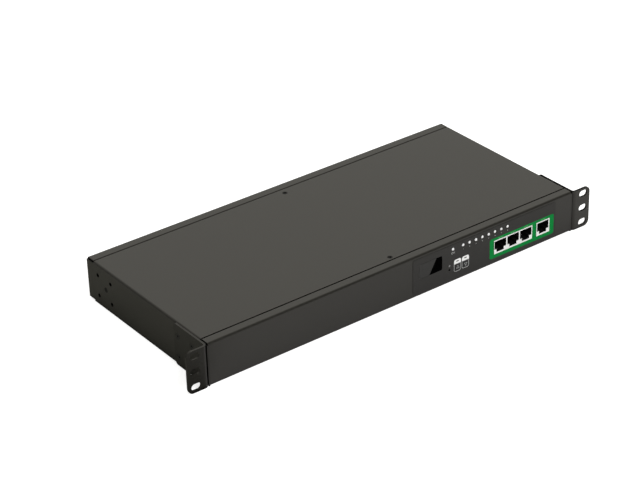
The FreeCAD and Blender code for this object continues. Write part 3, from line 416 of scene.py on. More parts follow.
def piece_from(bm, name, material, body):
    """Turns a bmesh into a piece that rides on a body."""
    bmesh.ops.recalc_face_normals(bm, faces=bm.faces[:])
    mesh = bpy.data.meshes.new(name)
    bm.to_mesh(mesh)
    bm.free()
    mesh.shade_smooth()
    mesh.set_sharp_from_angle(angle=SHARP_ABOVE)
    mesh.materials.append(material)
    piece = bpy.data.objects.new(name, mesh)
    bpy.context.scene.collection.objects.link(piece)
    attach(piece, body)
    return piece


def rounded_plate(bm, width, height, radius, matrix):
    """A flat rounded rectangle, and its one face."""
    made = bmesh.ops.create_grid(bm, x_segments=1, y_segments=1, size=0.5,
                                 matrix=matrix @ Matrix.Diagonal((width, height, 1, 1)))
    if radius:
        bmesh.ops.bevel(bm, geom=made["verts"], offset=radius, offset_type="OFFSET", segments=CORNER_SIDES,
                        profile=0.5, affect="VERTICES", material=-1)
    bm.faces.ensure_lookup_table()
    return bm.faces[-1]


def hollow(bm, face, line):
    """Leaves a line of a face along its edge."""
    bmesh.ops.inset_region(bm, faces=[face], thickness=line, use_boundary=True, use_even_offset=True)
    bmesh.ops.delete(bm, geom=[face], context="FACES_ONLY")


def raise_print(bm, height, outward):
    """Gives flat print its thickness."""
    made = bmesh.ops.extrude_face_region(bm, geom=bm.faces[:])
    verts = [item for item in made["geom"] if isinstance(item, bmesh.types.BMVert)]
    bmesh.ops.translate(bm, verts=verts, vec=outward * height)


def cut_out(bm, openings):
    """Cuts openings out of flat print on the front, each given by its left, right, low and high."""
    for left, right, low, high in openings:
        cuts = [(Vector((x, 0, 0)), Vector((1, 0, 0))) for x in (left, right)]
        cuts += [(UP * z, UP) for z in (low, high)]
        for point, normal in cuts:
            bmesh.ops.bisect_plane(bm, geom=bm.verts[:] + bm.edges[:] + bm.faces[:], dist=WELD,
                                   plane_co=point, plane_no=normal)
        inside = []
        for face in bm.faces:
            at = face.calc_center_median()
            if left < at.x < right and low < at.z < high:
                inside.append(face)
        bmesh.ops.delete(bm, geom=inside, context="FACES")


def join(bm, other):
    """Adds one bmesh to another."""
    mesh = bpy.data.meshes.new("joined")
    other.to_mesh(mesh)
    other.free()
    bm.from_mesh(mesh)
    bpy.data.meshes.remove(mesh)


def add_letters(bm, text, size, matrix):
    """Adds flat lettering, centred on the matrix."""
    curve = bpy.data.curves.new("letters", "FONT")
    curve.body = text
    curve.size = size
    curve.align_x = "CENTER"
    curve.align_y = "CENTER"
    holder = bpy.data.objects.new("letters", curve)
    bpy.context.scene.collection.objects.link(holder)
    bpy.context.view_layer.update()
    mesh = bpy.data.meshes.new_from_object(holder.evaluated_get(bpy.context.evaluated_depsgraph_get()))
    mesh.transform(matrix)
    bm.from_mesh(mesh)
    bpy.data.objects.remove(holder)
    bpy.data.curves.remove(curve)
    bpy.data.meshes.remove(mesh)


def add_screw(bm, rings, lobe, segments, matrix):
    """A turned screw from rings of radius, height and share of the lobes, from its recess to its end."""
    start = len(bm.verts)
    edges = None
    for radius, height, lobed in rings:
        if edges is None:
            made = bmesh.ops.create_circle(bm, cap_ends=False, radius=1, segments=segments)
            verts = made["verts"]
            edges = list({edge for vert in verts for edge in vert.link_edges})
            first = edges
        else:
            made = bmesh.ops.extrude_edge_only(bm, edges=edges)
            verts = [item for item in made["geom"] if isinstance(item, bmesh.types.BMVert)]
            edges = [item for item in made["geom"] if isinstance(item, bmesh.types.BMEdge)]
            edges = [edge for edge in edges if all(vert in verts for vert in edge.verts)]
        for vert in verts:
            angle = math.atan2(vert.co.y, vert.co.x)
            reach = radius * (1 + lobe * lobed * (math.cos(RECESS_LOBES * angle) - 1))
            vert.co = Vector((reach * math.cos(angle), reach * math.sin(angle), height))
    bmesh.ops.edgeloop_fill(bm, edges=first)
    bmesh.ops.edgeloop_fill(bm, edges=edges)
    bm.verts.ensure_lookup_table()
    bmesh.ops.transform(bm, matrix=matrix, verts=bm.verts[start:])


# Materials


def new_group(name, inputs, outputs):
    """An empty shader group with its sockets."""
    group = bpy.data.node_groups.new(name, "ShaderNodeTree")
    for socket, default in inputs:
        item = group.interface.new_socket(socket, in_out="INPUT", socket_type="NodeSocketFloat")
        item.default_value = default
    for socket in outputs:
        group.interface.new_socket(socket, in_out="OUTPUT", socket_type="NodeSocketFloat")
    enter = group.nodes.new("NodeGroupInput")
    leave = group.nodes.new("NodeGroupOutput")
    return group, enter, leave


def feed(tree, socket, value):
    """Links a socket or sets a plain value."""
    if isinstance(value, bpy.types.NodeSocket):
        tree.links.new(value, socket)
    else:
        socket.default_value = value


def math_node(tree, operation, first, second):
    """A Math node fed by sockets or numbers."""
    node = tree.nodes.new("ShaderNodeMath")
    node.operation = operation
    feed(tree, node.inputs[0], first)
    feed(tree, node.inputs[1], second)
    return node.outputs[0]


def noise_node(tree, scale, detail, vector):
    """Noise in the piece's own coordinates."""
    node = tree.nodes.new("ShaderNodeTexNoise")
    node.inputs["Detail"].default_value = detail
    tree.links.new(vector, node.inputs["Vector"])
    feed(tree, node.inputs["Scale"], scale)
    return node.outputs["Fac"]


def grain_group():
    """Fine grain for bump and a slow mottle for colour and roughness, shared by the coats and plastics."""
    name = "Surface grain"
    if name in bpy.data.node_groups:
        return bpy.data.node_groups[name]
    group, enter, leave = new_group(name, [("Grain scale", 1500.0), ("Mottle scale", 18.0)],
                                    ["Height", "Mottle", "Speck"])
    place = group.nodes.new("ShaderNodeTexCoord").outputs["Object"]
    grain = noise_node(group, enter.outputs["Grain scale"], detail=3.0, vector=place)
    finer = math_node(group, "MULTIPLY", enter.outputs["Grain scale"], FINE_SCALE)
    fine = noise_node(group, finer, detail=1.0, vector=place)
    height = math_node(group, "ADD", grain, math_node(group, "MULTIPLY", fine, FINE_SHARE))
    mottle = noise_node(group, enter.outputs["Mottle scale"], detail=4.0, vector=place)
    group.links.new(height, leave.inputs["Height"])
    group.links.new(mottle, leave.inputs["Mottle"])
    group.links.new(grain, leave.inputs["Speck"])
    return group


def shade(color, factor=1):
    """A colour with its alpha, lighter or darker by a factor."""
    return tuple(min(1.0, part * factor) for part in color) + (1.0,)


def blend(tree, factor, low, high):
    """A colour between two, by a factor."""
    node = tree.nodes.new("ShaderNodeMix")
    node.data_type = "RGBA"
    tree.links.new(factor, node.inputs["Factor"])
    feed(tree, node.inputs["A"], low)
    feed(tree, node.inputs["B"], high)
    return node.outputs["Result"]


def spread(tree, factor, low, high, start=0.0):
    """A value between two, by a factor that counts from a start up to 1."""
    node = tree.nodes.new("ShaderNodeMapRange")
    tree.links.new(factor, node.inputs["Value"])
    node.inputs["From Min"].default_value = start
    node.inputs["To Min"].default_value = low
    node.inputs["To Max"].default_value = high
    return node.outputs["Result"]


def made_once(make):
    """Gives back the material of that name, if an earlier run made it."""
    @wraps(make)
    def kept(name, *values, **sockets):
        return bpy.data.materials.get(name) or make(name, *values, **sockets)
    return kept


@made_once
def surface(name, color, roughness, grain=0.0006, depth=0.00002, metallic=0.0, mottle=18.0, vary=0.12,
            **sockets):
    """A material with the shared grain on its colour, roughness and bump."""
    material = bpy.data.materials.new(name)
    material.use_nodes = True
    tree = material.node_tree
    shader = tree.nodes["Principled BSDF"]
    group = tree.nodes.new("ShaderNodeGroup")
    group.node_tree = grain_group()
    group.inputs["Grain scale"].default_value = 1 / grain
    group.inputs["Mottle scale"].default_value = mottle
    tint = blend(tree, group.outputs["Mottle"], shade(color, 1 - vary), shade(color, 1 + vary))
    tree.links.new(tint, shader.inputs["Base Color"])
    smoothest = max(LEAST_ROUGHNESS, roughness - ROUGHNESS_SPREAD)
    roughest = min(1.0, roughness + ROUGHNESS_SPREAD)
    rough = spread(tree, group.outputs["Speck"], smoothest, roughest)
    tree.links.new(rough, shader.inputs["Roughness"])
    bump = tree.nodes.new("ShaderNodeBump")
    bump.inputs["Strength"].default_value = 1.0
    bump.inputs["Distance"].default_value = depth
    tree.links.new(group.outputs["Height"], bump.inputs["Height"])
    tree.links.new(bump.outputs["Normal"], shader.inputs["Normal"])
    shader.inputs["Metallic"].default_value = metallic
    for socket, value in sockets.items():
        shader.inputs[socket.replace("_", " ")].default_value = value
    return material


def parted(tree, node, output):
    """X, Y and Z of a node's vector."""
    split = tree.nodes.new("ShaderNodeSeparateXYZ")
    tree.links.new(tree.nodes.new(node).outputs[output], split.inputs[0])
    return split.outputs


@made_once
def port_plastic(name):
    """White housing whose openings are lined with a black insert."""
    material = surface(name, (0.86, 0.86, 0.85), roughness=0.35, grain=0.0004, depth=0.000004, vary=0.02)
    tree = material.node_tree
    base = tree.nodes["Principled BSDF"].inputs["Base Color"]
    white = base.links[0].from_socket
    place = parted(tree, "ShaderNodeTexCoord", "Object")
    low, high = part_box("port_block")
    behind = math_node(tree, "GREATER_THAN", place["Y"], low.y + HOUSING_FACE)
    under = math_node(tree, "LESS_THAN", place["Z"], high.z - HOUSING_CAP)
    lined = blend(tree, math_node(tree, "MULTIPLY", behind, under), white, LINING_BLACK)
    tree.links.new(lined, base)
    return material


@made_once
def window_plastic(name):
    """Smoked window: a painted dark reflection, black and without gloss, at its right, and a matt veil with
    its gloss over the rest.
    """
    panel = settings().panel
    material = surface(name, panel.film_color, roughness=0.3, grain=0.004, depth=0.0000006, vary=0.05,
                       Specular_IOR_Level=0.0, Coat_Roughness=0.46, Coat_Tint=shade(settings().coat.sheen))
    tree = material.node_tree
    shader = tree.nodes["Principled BSDF"]
    veil = shader.inputs["Base Color"].links[0].from_socket
    place = parted(tree, "ShaderNodeTexCoord", "Object")
    # Painted reflection: right of a leaning edge the window turns black and loses its gloss.
    lean = math_node(tree, "MULTIPLY", place["Z"], math.tan(panel.display_lean))
    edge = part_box("display_window")[0].x + panel.display_edge
    cover = math_node(tree, "LESS_THAN", math_node(tree, "SUBTRACT", place["X"], lean), edge)
    tree.links.new(blend(tree, cover, DARK_REFLECTION_BLACK, veil), shader.inputs["Base Color"])
    tree.links.new(cover, shader.inputs["Coat Weight"])
    return material


@made_once
def powder_coat(name, gloss):
    """Black powder coat, with shade painted black into its seams and crevices by ambient occlusion."""
    coat = settings().coat
    material = surface(name, coat.color, coat.roughness, coat.grain, coat.depth, mottle=9.0, vary=0.08,
                       Specular_IOR_Level=gloss, Specular_Tint=shade(coat.sheen))
    tree = material.node_tree
    base = tree.nodes["Principled BSDF"].inputs["Base Color"]
    tint = base.links[0].from_socket
    # Painted shade: ambient occlusion darkens the coat's colour towards black in seams and crevices.
    occlusion = tree.nodes.new("ShaderNodeAmbientOcclusion")
    occlusion.inputs["Distance"].default_value = coat.crevice
    lit = spread(tree, occlusion.outputs["AO"], 0.0, 1.0, start=CREVICE_SHADE_START)
    tree.links.new(blend(tree, lit, BLACK, tint), base)
    return material


@made_once
def edged_coat(name, gloss):
    """Powder coat with shade painted black, and full roughness, on the faces that look up, such as the
    sheet's upper edge.
    """
    material = powder_coat(name, gloss)
    tree = material.node_tree
    shader = tree.nodes["Principled BSDF"]
    # Painted shade: faces that look up turn black.
    slope = parted(tree, "ShaderNodeNewGeometry", "True Normal")
    shaded_top = math_node(tree, "GREATER_THAN", slope["Z"], SHADED_TOP_SLOPE)
    tint = shader.inputs["Base Color"].links[0].from_socket
    rough = shader.inputs["Roughness"].links[0].from_socket
    tree.links.new(blend(tree, shaded_top, tint, BLACK), shader.inputs["Base Color"])
    tree.links.new(math_node(tree, "MAXIMUM", rough, shaded_top), shader.inputs["Roughness"])
    return material


def black_oxide(name, gloss):
    """Black screws, more or less dull."""
    return surface(name, settings().screw.color, roughness=0.45, grain=0.0005, depth=0.000006, mottle=300.0,
                   vary=0.25, Specular_IOR_Level=gloss)


def insulation(name, color):
    """Smooth sheath of a wire."""
    return surface(name, color, roughness=0.5, grain=0.0008, depth=0.000006)


def finishes():
    """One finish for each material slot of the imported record."""
    unit = settings()
    film = unit.panel.film_color
    return {
        "black_coat": powder_coat("Black powder coat", unit.coat.gloss),
        "black_screw": black_oxide("Black oxide screw", unit.screw.gloss),
        "zinc_steel": surface("Zinc-plated steel", (0.58, 0.58, 0.56), roughness=0.34, grain=0.0008,
                              depth=0.000004, metallic=1.0, mottle=120.0),
        "panel_film": surface("Matt panel film", film, roughness=0.46, grain=0.0004, depth=0.000008,
                              mottle=14.0, vary=0.06, Specular_IOR_Level=0.44,
                              Specular_Tint=shade(unit.coat.sheen)),
        "smoked_window": window_plastic("Smoked acrylic"),
        "display_black": surface("Display plastic", (0.012, 0.012, 0.012), roughness=0.5, grain=0.0005,
                                 depth=0.00001),
        "lamp_lens": surface("White lens", (0.9, 0.9, 0.9), roughness=0.2, grain=0.0004, depth=0.000002,
                             vary=0.02),
        "key_black": surface("Key plastic", film, roughness=0.5, grain=0.0004, depth=0.00001),
        "port_white": port_plastic("Port plastic"),
        "contact_brass": surface("Plated brass", (0.75, 0.55, 0.22), roughness=0.28, grain=0.0006,
                                 depth=0.000003, metallic=1.0, mottle=400.0),
        "board_green": surface("Green board", (0.012, 0.12, 0.05), roughness=0.4, grain=0.0012,
                               depth=0.00001, mottle=150.0),
        "chip_black": surface("Chip plastic", (0.018, 0.018, 0.019), roughness=0.55, grain=0.0004,
                              depth=0.00001),
        "relay_case": surface("Relay plastic", (0.02, 0.05, 0.2), roughness=0.38, grain=0.0005,
                              depth=0.000008),
        "outlet_black": surface("Outlet plastic", (0.016, 0.016, 0.016), roughness=0.4, grain=0.0005,
                                depth=0.000012, mottle=60.0),
        "live_brown": insulation("Brown insulation", (0.13, 0.05, 0.02)),
        "neutral_blue": insulation("Blue insulation", (0.02, 0.08, 0.36)),
        "earth_green": insulation("Green insulation", (0.08, 0.36, 0.04)),
        "grey_cable": insulation("Grey insulation", (0.32, 0.32, 0.32)),
    }


def ink(level=1.0):
    """The light print's ink, thinner at a lower level."""
    color = shade(settings().panel.ink_color, level)[:3]
    return surface("Light ink %d" % round(100 * level), color, roughness=0.5, grain=0.0003, depth=0.000002,
                   vary=0.03)


def field_ink(name, color):
    """Dull ink of the field round the ports and of its marks."""
    return surface(name, color, roughness=0.6, grain=0.0003, depth=0.000002, vary=0.04,
                   Specular_IOR_Level=0.1)


def lip_plastic():
    """Dull black of the shade painted at the ports' openings."""
    return surface("Lip plastic", (0.004, 0.004, 0.004), roughness=0.6, grain=0.0004, depth=0.000004,
                   Specular_IOR_Level=0.03)


# Operators


class RACK_OT_finish_solids(bpy.types.Operator):
    """Give every solid the finish of its material slot"""

    bl_idname = "rack_power.finish_solids"
    bl_label = "Finish the solids"

    def execute(self, context):
        made = finishes()
        for row in frame["record"]["subparts"]:
            node = frame["nodes"][row["node"]]
            node.data.materials.clear()
            node.data.materials.append(made[row["material_slot"]])
        coat = settings().coat
        # Painted shade: the left ear takes a duller copy of the coat so that it reads darker than the right
        # ear.
        frame["nodes"]["left_rack_ear"].data.materials[0] = powder_coat("Duller coat", coat.ear_gloss)
        # Painted shade: the right ear's upward faces turn black.
        frame["nodes"]["right_rack_ear"].data.materials[0] = edged_coat("Edged coat", coat.gloss)
        return {"FINISHED"}


class RACK_OT_screws(bpy.types.Operator):
    """Turn the ear, cover and inlet screws with their recesses"""

    bl_idname = "rack_power.screws"
    bl_label = "Screws"

    def rings(self, head, shank, length, share):
        """Rings from the recess's floor over the head to the end of the shank, heights from the seat."""
        unit = settings().screw
        reach = max(radius for radius, height in head) * share
        top = head[0][1]
        floor = top - unit.depth
        made = [(reach * FLOOR_SHARE, floor, FLOOR_LOBES), (reach * FOOT_SHARE, floor, 1.0)]
        made += [(reach, top - MOUTH_DROP, 1.0), (reach * MOUTH_SHARE, top, MOUTH_LOBES)]
        made += [(radius, height, 0.0) for radius, height in head]
        made += [(shank, head[-1][1], 0.0), (shank, END_BEVEL - length, 0.0)]
        made += [(shank * END_SHARE, -length, 0.0)]
        return made

    def build(self, node, places, head, shank, length, finish):
        """Screws of one node, each with its seat, its direction and its recess's share of the head."""
        unit = settings().screw
        bm = bmesh.new()
        for point, outward, share in places:
            rings = self.rings(head, shank, length, share)
            add_screw(bm, rings, unit.lobe, unit.segments, seat(point, outward))
        piece = piece_from(bm, node + "_turned", finish, CASE)
        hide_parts(node)

    def sunk_head(self, radius, shank):
        """A countersunk head, flush with its seat."""
        return [(radius - RIM_INSET, 0.0), (radius, -RIM_DROP), (shank, shank - radius)]

    def execute(self, context):
        unit = settings().screw
        low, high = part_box("ear_screws")
        radius = unit.ear_head
        places = [(Vector((side * high.x, y, z)), Vector((side, 0, 0)), unit.ear_recess) for side in (-1, 1)
                  for y in (low.y + radius, high.y - radius) for z in (low.z + radius, high.z - radius)]
        self.build("ear_screws", places, self.sunk_head(radius, unit.ear_shank), unit.ear_shank,
                   unit.ear_length, black_oxide("Black oxide screw", unit.gloss))

        low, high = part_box("cover_screws")
        radius = unit.cover_head
        places = [(Vector((0, y, high.z)), UP, unit.recess_share)
                  for y in (low.y + radius, high.y - radius)]
        places += [(Vector((side * high.x, unit.cover_side_y, unit.cover_side_z)), Vector((side, 0, 0)),
                    unit.side_recess) for side in (-1, 1)]
        dull = black_oxide("Dull black screw", unit.dull_gloss)
        self.build("cover_screws", places, self.sunk_head(radius, unit.sunk_shank), unit.sunk_shank,
                   unit.cover_length, dull)

        low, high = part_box("inlet_screws")
        radius = unit.inlet_head
        z = (low.z + high.z) / 2
        places = [(Vector((x, high.y, z)), REAR, unit.recess_share)
                  for x in (low.x + radius, high.x - radius)]
        self.build("inlet_screws", places, self.sunk_head(radius, unit.sunk_shank), unit.sunk_shank,
                   high.y - low.y, dull)
        return {"FINISHED"}


class RACK_OT_port_field(bpy.types.Operator):
    """Print the coloured field round the ports"""

    bl_idname = "rack_power.port_field"
    bl_label = "Port field"

    def execute(self, context):
        panel = settings().panel
        boxes = [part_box("port_block"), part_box("network_port")]
        gap = panel.port_gap
        left, right = boxes[0][0].x - panel.field_left, boxes[1][1].x + panel.field_right
        low, high = boxes[0][0].z - panel.field_below, boxes[0][1].z + panel.field_above
        bm = bmesh.new()
        centre = Vector(((left + right) / 2, film_face, (low + high) / 2))
        rounded_plate(bm, right - left, high - low, panel.field_corner, seat(centre, FRONT))
        cut_out(bm, [(start.x - gap, end.x + gap, start.z - gap, end.z + gap) for start, end in boxes])
        raise_print(bm, panel.ink_height, FRONT)
        piece_from(bm, "port_field", field_ink("Green ink", panel.field_color), CASE)
        return {"FINISHED"}


class RACK_OT_port_lips(bpy.types.Operator):
    """Paint shade as black strips left of and above each port's opening and left of its notch"""

    bl_idname = "rack_power.port_lips"
    bl_label = "Port lips"

    def execute(self, context):
        panel = settings().panel
        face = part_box("port_block")[0].y
        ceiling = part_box("port_block")[1].z - panel.opening_drop
        sill, top = ceiling - panel.opening_height, ceiling + panel.lip_top
        bm = bmesh.new()
        for x in port_places():
            left, right = x - panel.opening_width / 2, x + panel.opening_width / 2
            outer = left - panel.lip_side
            corner = bmesh.new()
            centre = Vector(((outer + right) / 2, face, (sill + top) / 2))
            rounded_plate(corner, right - outer, top - sill, 0, seat(centre, FRONT))
            cut_out(corner, [(left, right + panel.lip_side, sill - panel.lip_side, ceiling)])
            join(bm, corner)
            notch = x - (panel.notch_width + panel.lip_notch) / 2
            centre = Vector((notch, face, sill - panel.notch_height / 2))
            rounded_plate(bm, panel.lip_notch, panel.notch_height, 0, seat(centre, FRONT))
        raise_print(bm, panel.ink_height, FRONT)
        piece_from(bm, "port_lips", lip_plastic(), CASE)
        return {"FINISHED"}


class RACK_OT_key_frames(bpy.types.Operator):
    """Print the outlines and light tabs of the keys"""

    bl_idname = "rack_power.key_frames"
    bl_label = "Key frames"

    def execute(self, context):
        panel = settings().panel
        lines, tabs, marks = bmesh.new(), bmesh.new(), bmesh.new()
        for key in ("up_key", "down_key"):
            at = middle(key)
            centre = Vector((at.x, film_face, at.z + panel.frame_rise))
            top = centre.z + panel.frame_height / 2
            for group, upper in ((lines, False), (tabs, True)):
                part = bmesh.new()
                rounded_plate(part, panel.frame_width, panel.frame_height, panel.frame_corner,
                              seat(centre, FRONT))
                bmesh.ops.bisect_plane(part, geom=part.verts[:] + part.edges[:] + part.faces[:],
                                       plane_co=UP * (top - panel.tab_height), plane_no=UP,
                                       clear_inner=upper, clear_outer=not upper)
                if not upper:
                    part.faces.ensure_lookup_table()
                    hollow(part, part.faces[0], panel.frame_line)
                join(group, part)
            mark = Vector((at.x, film_face - panel.ink_height, top - panel.tab_height * TAB_MARK_DROP))
            rounded_plate(marks, panel.frame_width * TAB_MARK_WIDTH, panel.tab_height * TAB_MARK_HEIGHT,
                          panel.tab_height * TAB_MARK_CORNER, seat(mark, FRONT))
        for group, name, level in ((lines, "key_frames", panel.line_level), (tabs, "key_tabs", 1.0)):
            raise_print(group, panel.ink_height, FRONT)
            piece_from(group, name, ink(level), CASE)
        raise_print(marks, panel.ink_height / 2, FRONT)
        piece_from(marks, "key_tab_marks", bpy.data.materials["Matt panel film"], CASE)
        return {"FINISHED"}


class RACK_OT_key_signs(bpy.types.Operator):
    """Print an arrow on each key"""

    bl_idname = "rack_power.key_signs"
    bl_label = "Key signs"

    def execute(self, context):
        panel = settings().panel
        for key, turn in (("up_key", 0.0), ("down_key", math.pi)):
            point = middle(key)
            point.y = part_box(key)[0].y
            bm = bmesh.new()
            bmesh.ops.create_circle(bm, cap_ends=True, radius=panel.sign_size, segments=3,
                                    matrix=seat(point, FRONT) @ Matrix.Rotation(turn, 4, "Z"))
            bm.faces.ensure_lookup_table()
            hollow(bm, bm.faces[0], panel.sign_line)
            raise_print(bm, panel.ink_height, FRONT)
            piece_from(bm, key + "_sign", ink(panel.sign_level), key)
        return {"FINISHED"}


class RACK_OT_panel_marks(bpy.types.Operator):
    """Print the lamp numbers, the ON mark, the reset sign and the port marks"""

    bl_idname = "rack_power.panel_marks"
    bl_label = "Panel marks"

    def execute(self, context):
        panel = settings().panel
        bm = bmesh.new()
        point = middle("status_lamp") - UP * panel.mark_drop
        point.y = film_face
        add_letters(bm, "ON", panel.on_size, seat(point, FRONT))
        first, last = lamp_low.x + lamp_radius, lamp_high.x - lamp_radius
        for number in range(outlet_count):
            point.x = first + (last - first) * number / (outlet_count - 1)
            add_letters(bm, str(number + 1), panel.number_size, seat(point, FRONT))
        raise_print(bm, panel.ink_height, FRONT)
        piece_from(bm, "lamp_marks", ink(panel.mark_level), CASE)

        bm = bmesh.new()
        point = middle("reset_plunger") + UP * panel.reset_rise
        point.y = film_face
        bmesh.ops.create_circle(bm, cap_ends=True, radius=panel.reset_size, segments=RESET_SIDES,
                                matrix=seat(point, FRONT))
        bm.faces.ensure_lookup_table()
        hollow(bm, bm.faces[0], panel.reset_size * RESET_LINE)
        raise_print(bm, panel.ink_height, FRONT)
        piece_from(bm, "reset_mark", ink(panel.mark_level), CASE)

        bm = bmesh.new()
        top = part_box("port_block")[1].z
        for x in port_places():
            point = Vector((x, film_face - panel.ink_height, top + panel.field_above / 2))
            rounded_plate(bm, panel.port_mark, panel.field_above * PORT_MARK_HEIGHT,
                          panel.field_above * PORT_MARK_CORNER, seat(point, FRONT))
        raise_print(bm, panel.ink_height / 2, FRONT)
        piece_from(bm, "port_marks", field_ink("Pale green ink", panel.mark_color), CASE)
        return {"FINISHED"}


class RACK_OT_rear_marks(bpy.types.Operator):
    """Print the outlets' numbers on the rear wall"""

    bl_idname = "rack_power.rear_marks"
    bl_label = "Rear marks"

    def execute(self, context):
        rear = settings().rear
        bm = bmesh.new()
        for number in range(1, outlet_count + 1):
            low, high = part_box("outlet_%d" % number)
            point = Vector(((low.x + high.x) / 2, wall_rear, high.z + rear.number_gap))
            add_letters(bm, str(number), rear.number_size, seat(point, REAR))
        raise_print(bm, settings().panel.ink_height, REAR)
        piece_from(bm, "outlet_numbers", ink(), CASE)
        return {"FINISHED"}


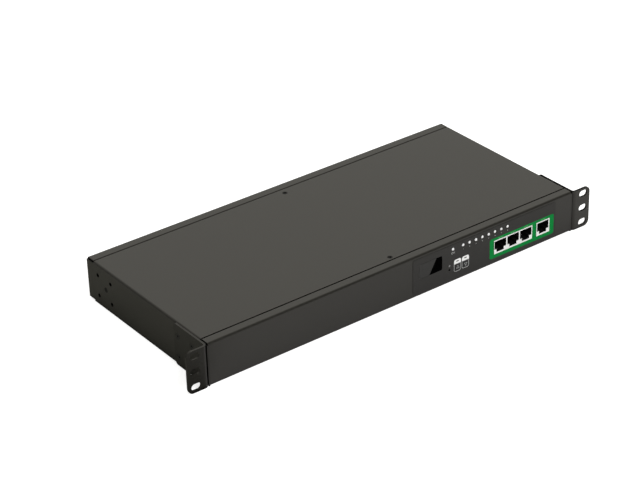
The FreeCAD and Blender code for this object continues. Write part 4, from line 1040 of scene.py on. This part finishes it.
class RACK_OT_stage(bpy.types.Operator):
    """Set the floor, the room, the lamps and the camera"""

    bl_idname = "rack_power.stage"
    bl_label = "Stage"

    def sheet(self, name, matrix, material):
        """A flat sheet of the stage, from a square of side 1."""
        bm = bmesh.new()
        bmesh.ops.create_grid(bm, x_segments=1, y_segments=1, size=0.5, matrix=matrix)
        mesh = bpy.data.meshes.new(name)
        bm.to_mesh(mesh)
        bm.free()
        mesh.materials.append(material)
        sheet = bpy.data.objects.new(name, mesh)
        bpy.context.scene.collection.objects.link(sheet)
        return sheet

    def floor(self):
        """A pale floor that looks white to the camera and keeps the unit's shadow."""
        unit = settings().stage
        material = bpy.data.materials.new("Pale floor")
        material.use_nodes = True
        tree = material.node_tree
        shader = tree.nodes["Principled BSDF"]
        shader.inputs["Base Color"].default_value = shade(unit.floor_color)
        shader.inputs["Roughness"].default_value = MATT
        shader.inputs["Specular IOR Level"].default_value = 0.0
        shader.inputs["Emission Color"].default_value = WHITE
        path = tree.nodes.new("ShaderNodeLightPath").outputs
        seen = math_node(tree, "MAXIMUM", path["Is Camera Ray"], path["Is Transmission Ray"])
        glow = math_node(tree, "MULTIPLY", seen, unit.floor_glow)
        mirrored = math_node(tree, "MULTIPLY", path["Is Glossy Ray"], unit.floor_mirror)
        tree.links.new(math_node(tree, "MAXIMUM", glow, mirrored), shader.inputs["Emission Strength"])
        size = Matrix.Diagonal((unit.floor_size, unit.floor_size, 1, 1))
        self.sheet("floor", Matrix.Translation((0, 0, cad_low.z - unit.floor_gap)) @ size, material)

    def card(self, name, color, corner, width, depth, lean):
        """A card on the floor that shows in the unit's finish alone, as painted shade in what it mirrors;
        the corner is its rear right one.
        """
        across, along = Vector((width, 0, 0)), Vector((-lean * depth, depth, 0))
        at = Vector((*corner, cad_low.z - settings().stage.floor_gap / 2)) - (across + along) / 2
        matrix = Matrix.Translation(at) @ Matrix((across, along, UP)).transposed().to_4x4()
        material = surface(name, color, roughness=MATT, grain=0.002, depth=0.00001, vary=0.03)
        card = self.sheet(name, matrix, material)
        card.visible_camera = card.visible_diffuse = card.visible_shadow = False

    def cards(self):
        """A grey card left of the unit and a dark one before its left ear: painted shade in what the left
        side and the left ear mirror.
        """
        unit = settings().stage
        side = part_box("left_rack_ear")[1].x
        size = unit.card_size
        self.card("Side card", unit.card_color, (side, cad_high.y + unit.card_past), size, size, 0.0)
        self.card("Ear card", unit.ear_card_color, (side - unit.ear_card_gap, cad_low.y),
                  unit.ear_card_width, unit.ear_card_depth, unit.ear_card_lean)

    def world(self):
        """A white backdrop behind the unit and a dimmer room elsewhere, all white to the camera."""
        unit = settings().stage
        world = bpy.data.worlds.new("studio")
        bpy.context.scene.world = world
        world.use_nodes = True
        tree = world.node_tree
        toward = tree.nodes.new("ShaderNodeVectorMath")
        toward.operation = "DOT_PRODUCT"
        tree.links.new(tree.nodes.new("ShaderNodeTexCoord").outputs["Generated"], toward.inputs[0])
        toward.inputs[1].default_value = Vector(unit.backdrop).normalized()
        level = tree.nodes.new("ShaderNodeMapRange")
        level.interpolation_type = "SMOOTHSTEP"
        for socket, value in (("From Min", BACKDROP_START), ("From Max", BACKDROP_FULL),
                              ("To Min", unit.room), ("To Max", 1.0)):
            level.inputs[socket].default_value = value
        tree.links.new(toward.outputs["Value"], level.inputs["Value"])
        path = tree.nodes.new("ShaderNodeLightPath").outputs
        seen = math_node(tree, "MAXIMUM", path["Is Camera Ray"], path["Is Transmission Ray"])
        strength = math_node(tree, "MAXIMUM", level.outputs["Result"], seen)
        room = tree.nodes["Background"]
        tree.links.new(blend(tree, seen, shade(unit.room_color), WHITE), room.inputs["Color"])
        tree.links.new(strength, room.inputs["Strength"])

    def lamp(self, name, place, power):
        """A soft lamp that faces the unit and doesn't show in its gloss."""
        light = bpy.data.lights.new(name, "AREA")
        light.shape = "SQUARE"
        light.size = settings().stage.lamp_size
        light.energy = power
        lamp = bpy.data.objects.new(name, light)
        lamp.location = place
        lamp.rotation_euler = (-Vector(place)).to_track_quat("-Z", "Y").to_euler()
        lamp.visible_glossy = False
        bpy.context.scene.collection.objects.link(lamp)

    def execute(self, context):
        unit = settings().stage
        self.floor()
        self.cards()
        self.world()
        self.lamp("key_lamp", unit.key_place, unit.key_power)
        self.lamp("fill_lamp", unit.fill_place, unit.fill_power)
        lens = bpy.data.cameras.new("camera")
        lens.lens = unit.lens
        camera = bpy.data.objects.new("camera", lens)
        camera.location = unit.camera_place
        camera.rotation_euler = unit.camera_turn
        context.scene.collection.objects.link(camera)
        context.scene.camera = camera
        context.scene.view_settings.view_transform = "Standard"
        return {"FINISHED"}


class RACK_PT_sidebar(bpy.types.Panel):
    """Steps and sizes of the rack power unit"""

    bl_idname = "RACK_PT_sidebar"
    bl_label = "Rack power unit"
    bl_space_type = "VIEW_3D"
    bl_region_type = "UI"
    bl_category = "Rack power unit"

    def draw(self, context):
        for step in STEPS:
            self.layout.operator(step.bl_idname)
        for group in UnitSettings.__annotations__:
            box = self.layout.box()
            box.label(text=group.capitalize())
            values = getattr(settings(), group)
            for name in values.__annotations__:
                box.prop(values, name)


STEPS = (RACK_OT_finish_solids, RACK_OT_screws, RACK_OT_port_field, RACK_OT_port_lips,
         RACK_OT_key_frames, RACK_OT_key_signs, RACK_OT_panel_marks, RACK_OT_rear_marks, RACK_OT_stage)
CLASSES = (CoatSettings, PanelSettings, ScrewSettings, RearSettings, StageSettings, UnitSettings) + STEPS
CLASSES += (RACK_PT_sidebar,)


def register():
    for item in CLASSES:
        bpy.utils.register_class(item)
    bpy.types.Scene.rack_power_unit = PointerProperty(type=UnitSettings)


def unregister():
    del bpy.types.Scene.rack_power_unit
    for item in reversed(CLASSES):
        bpy.utils.unregister_class(item)


def main():
    register()
    for step in STEPS:
        space, name = step.bl_idname.split(".")
        getattr(getattr(bpy.ops, space), name)()


if __name__ == "__main__":
    main()
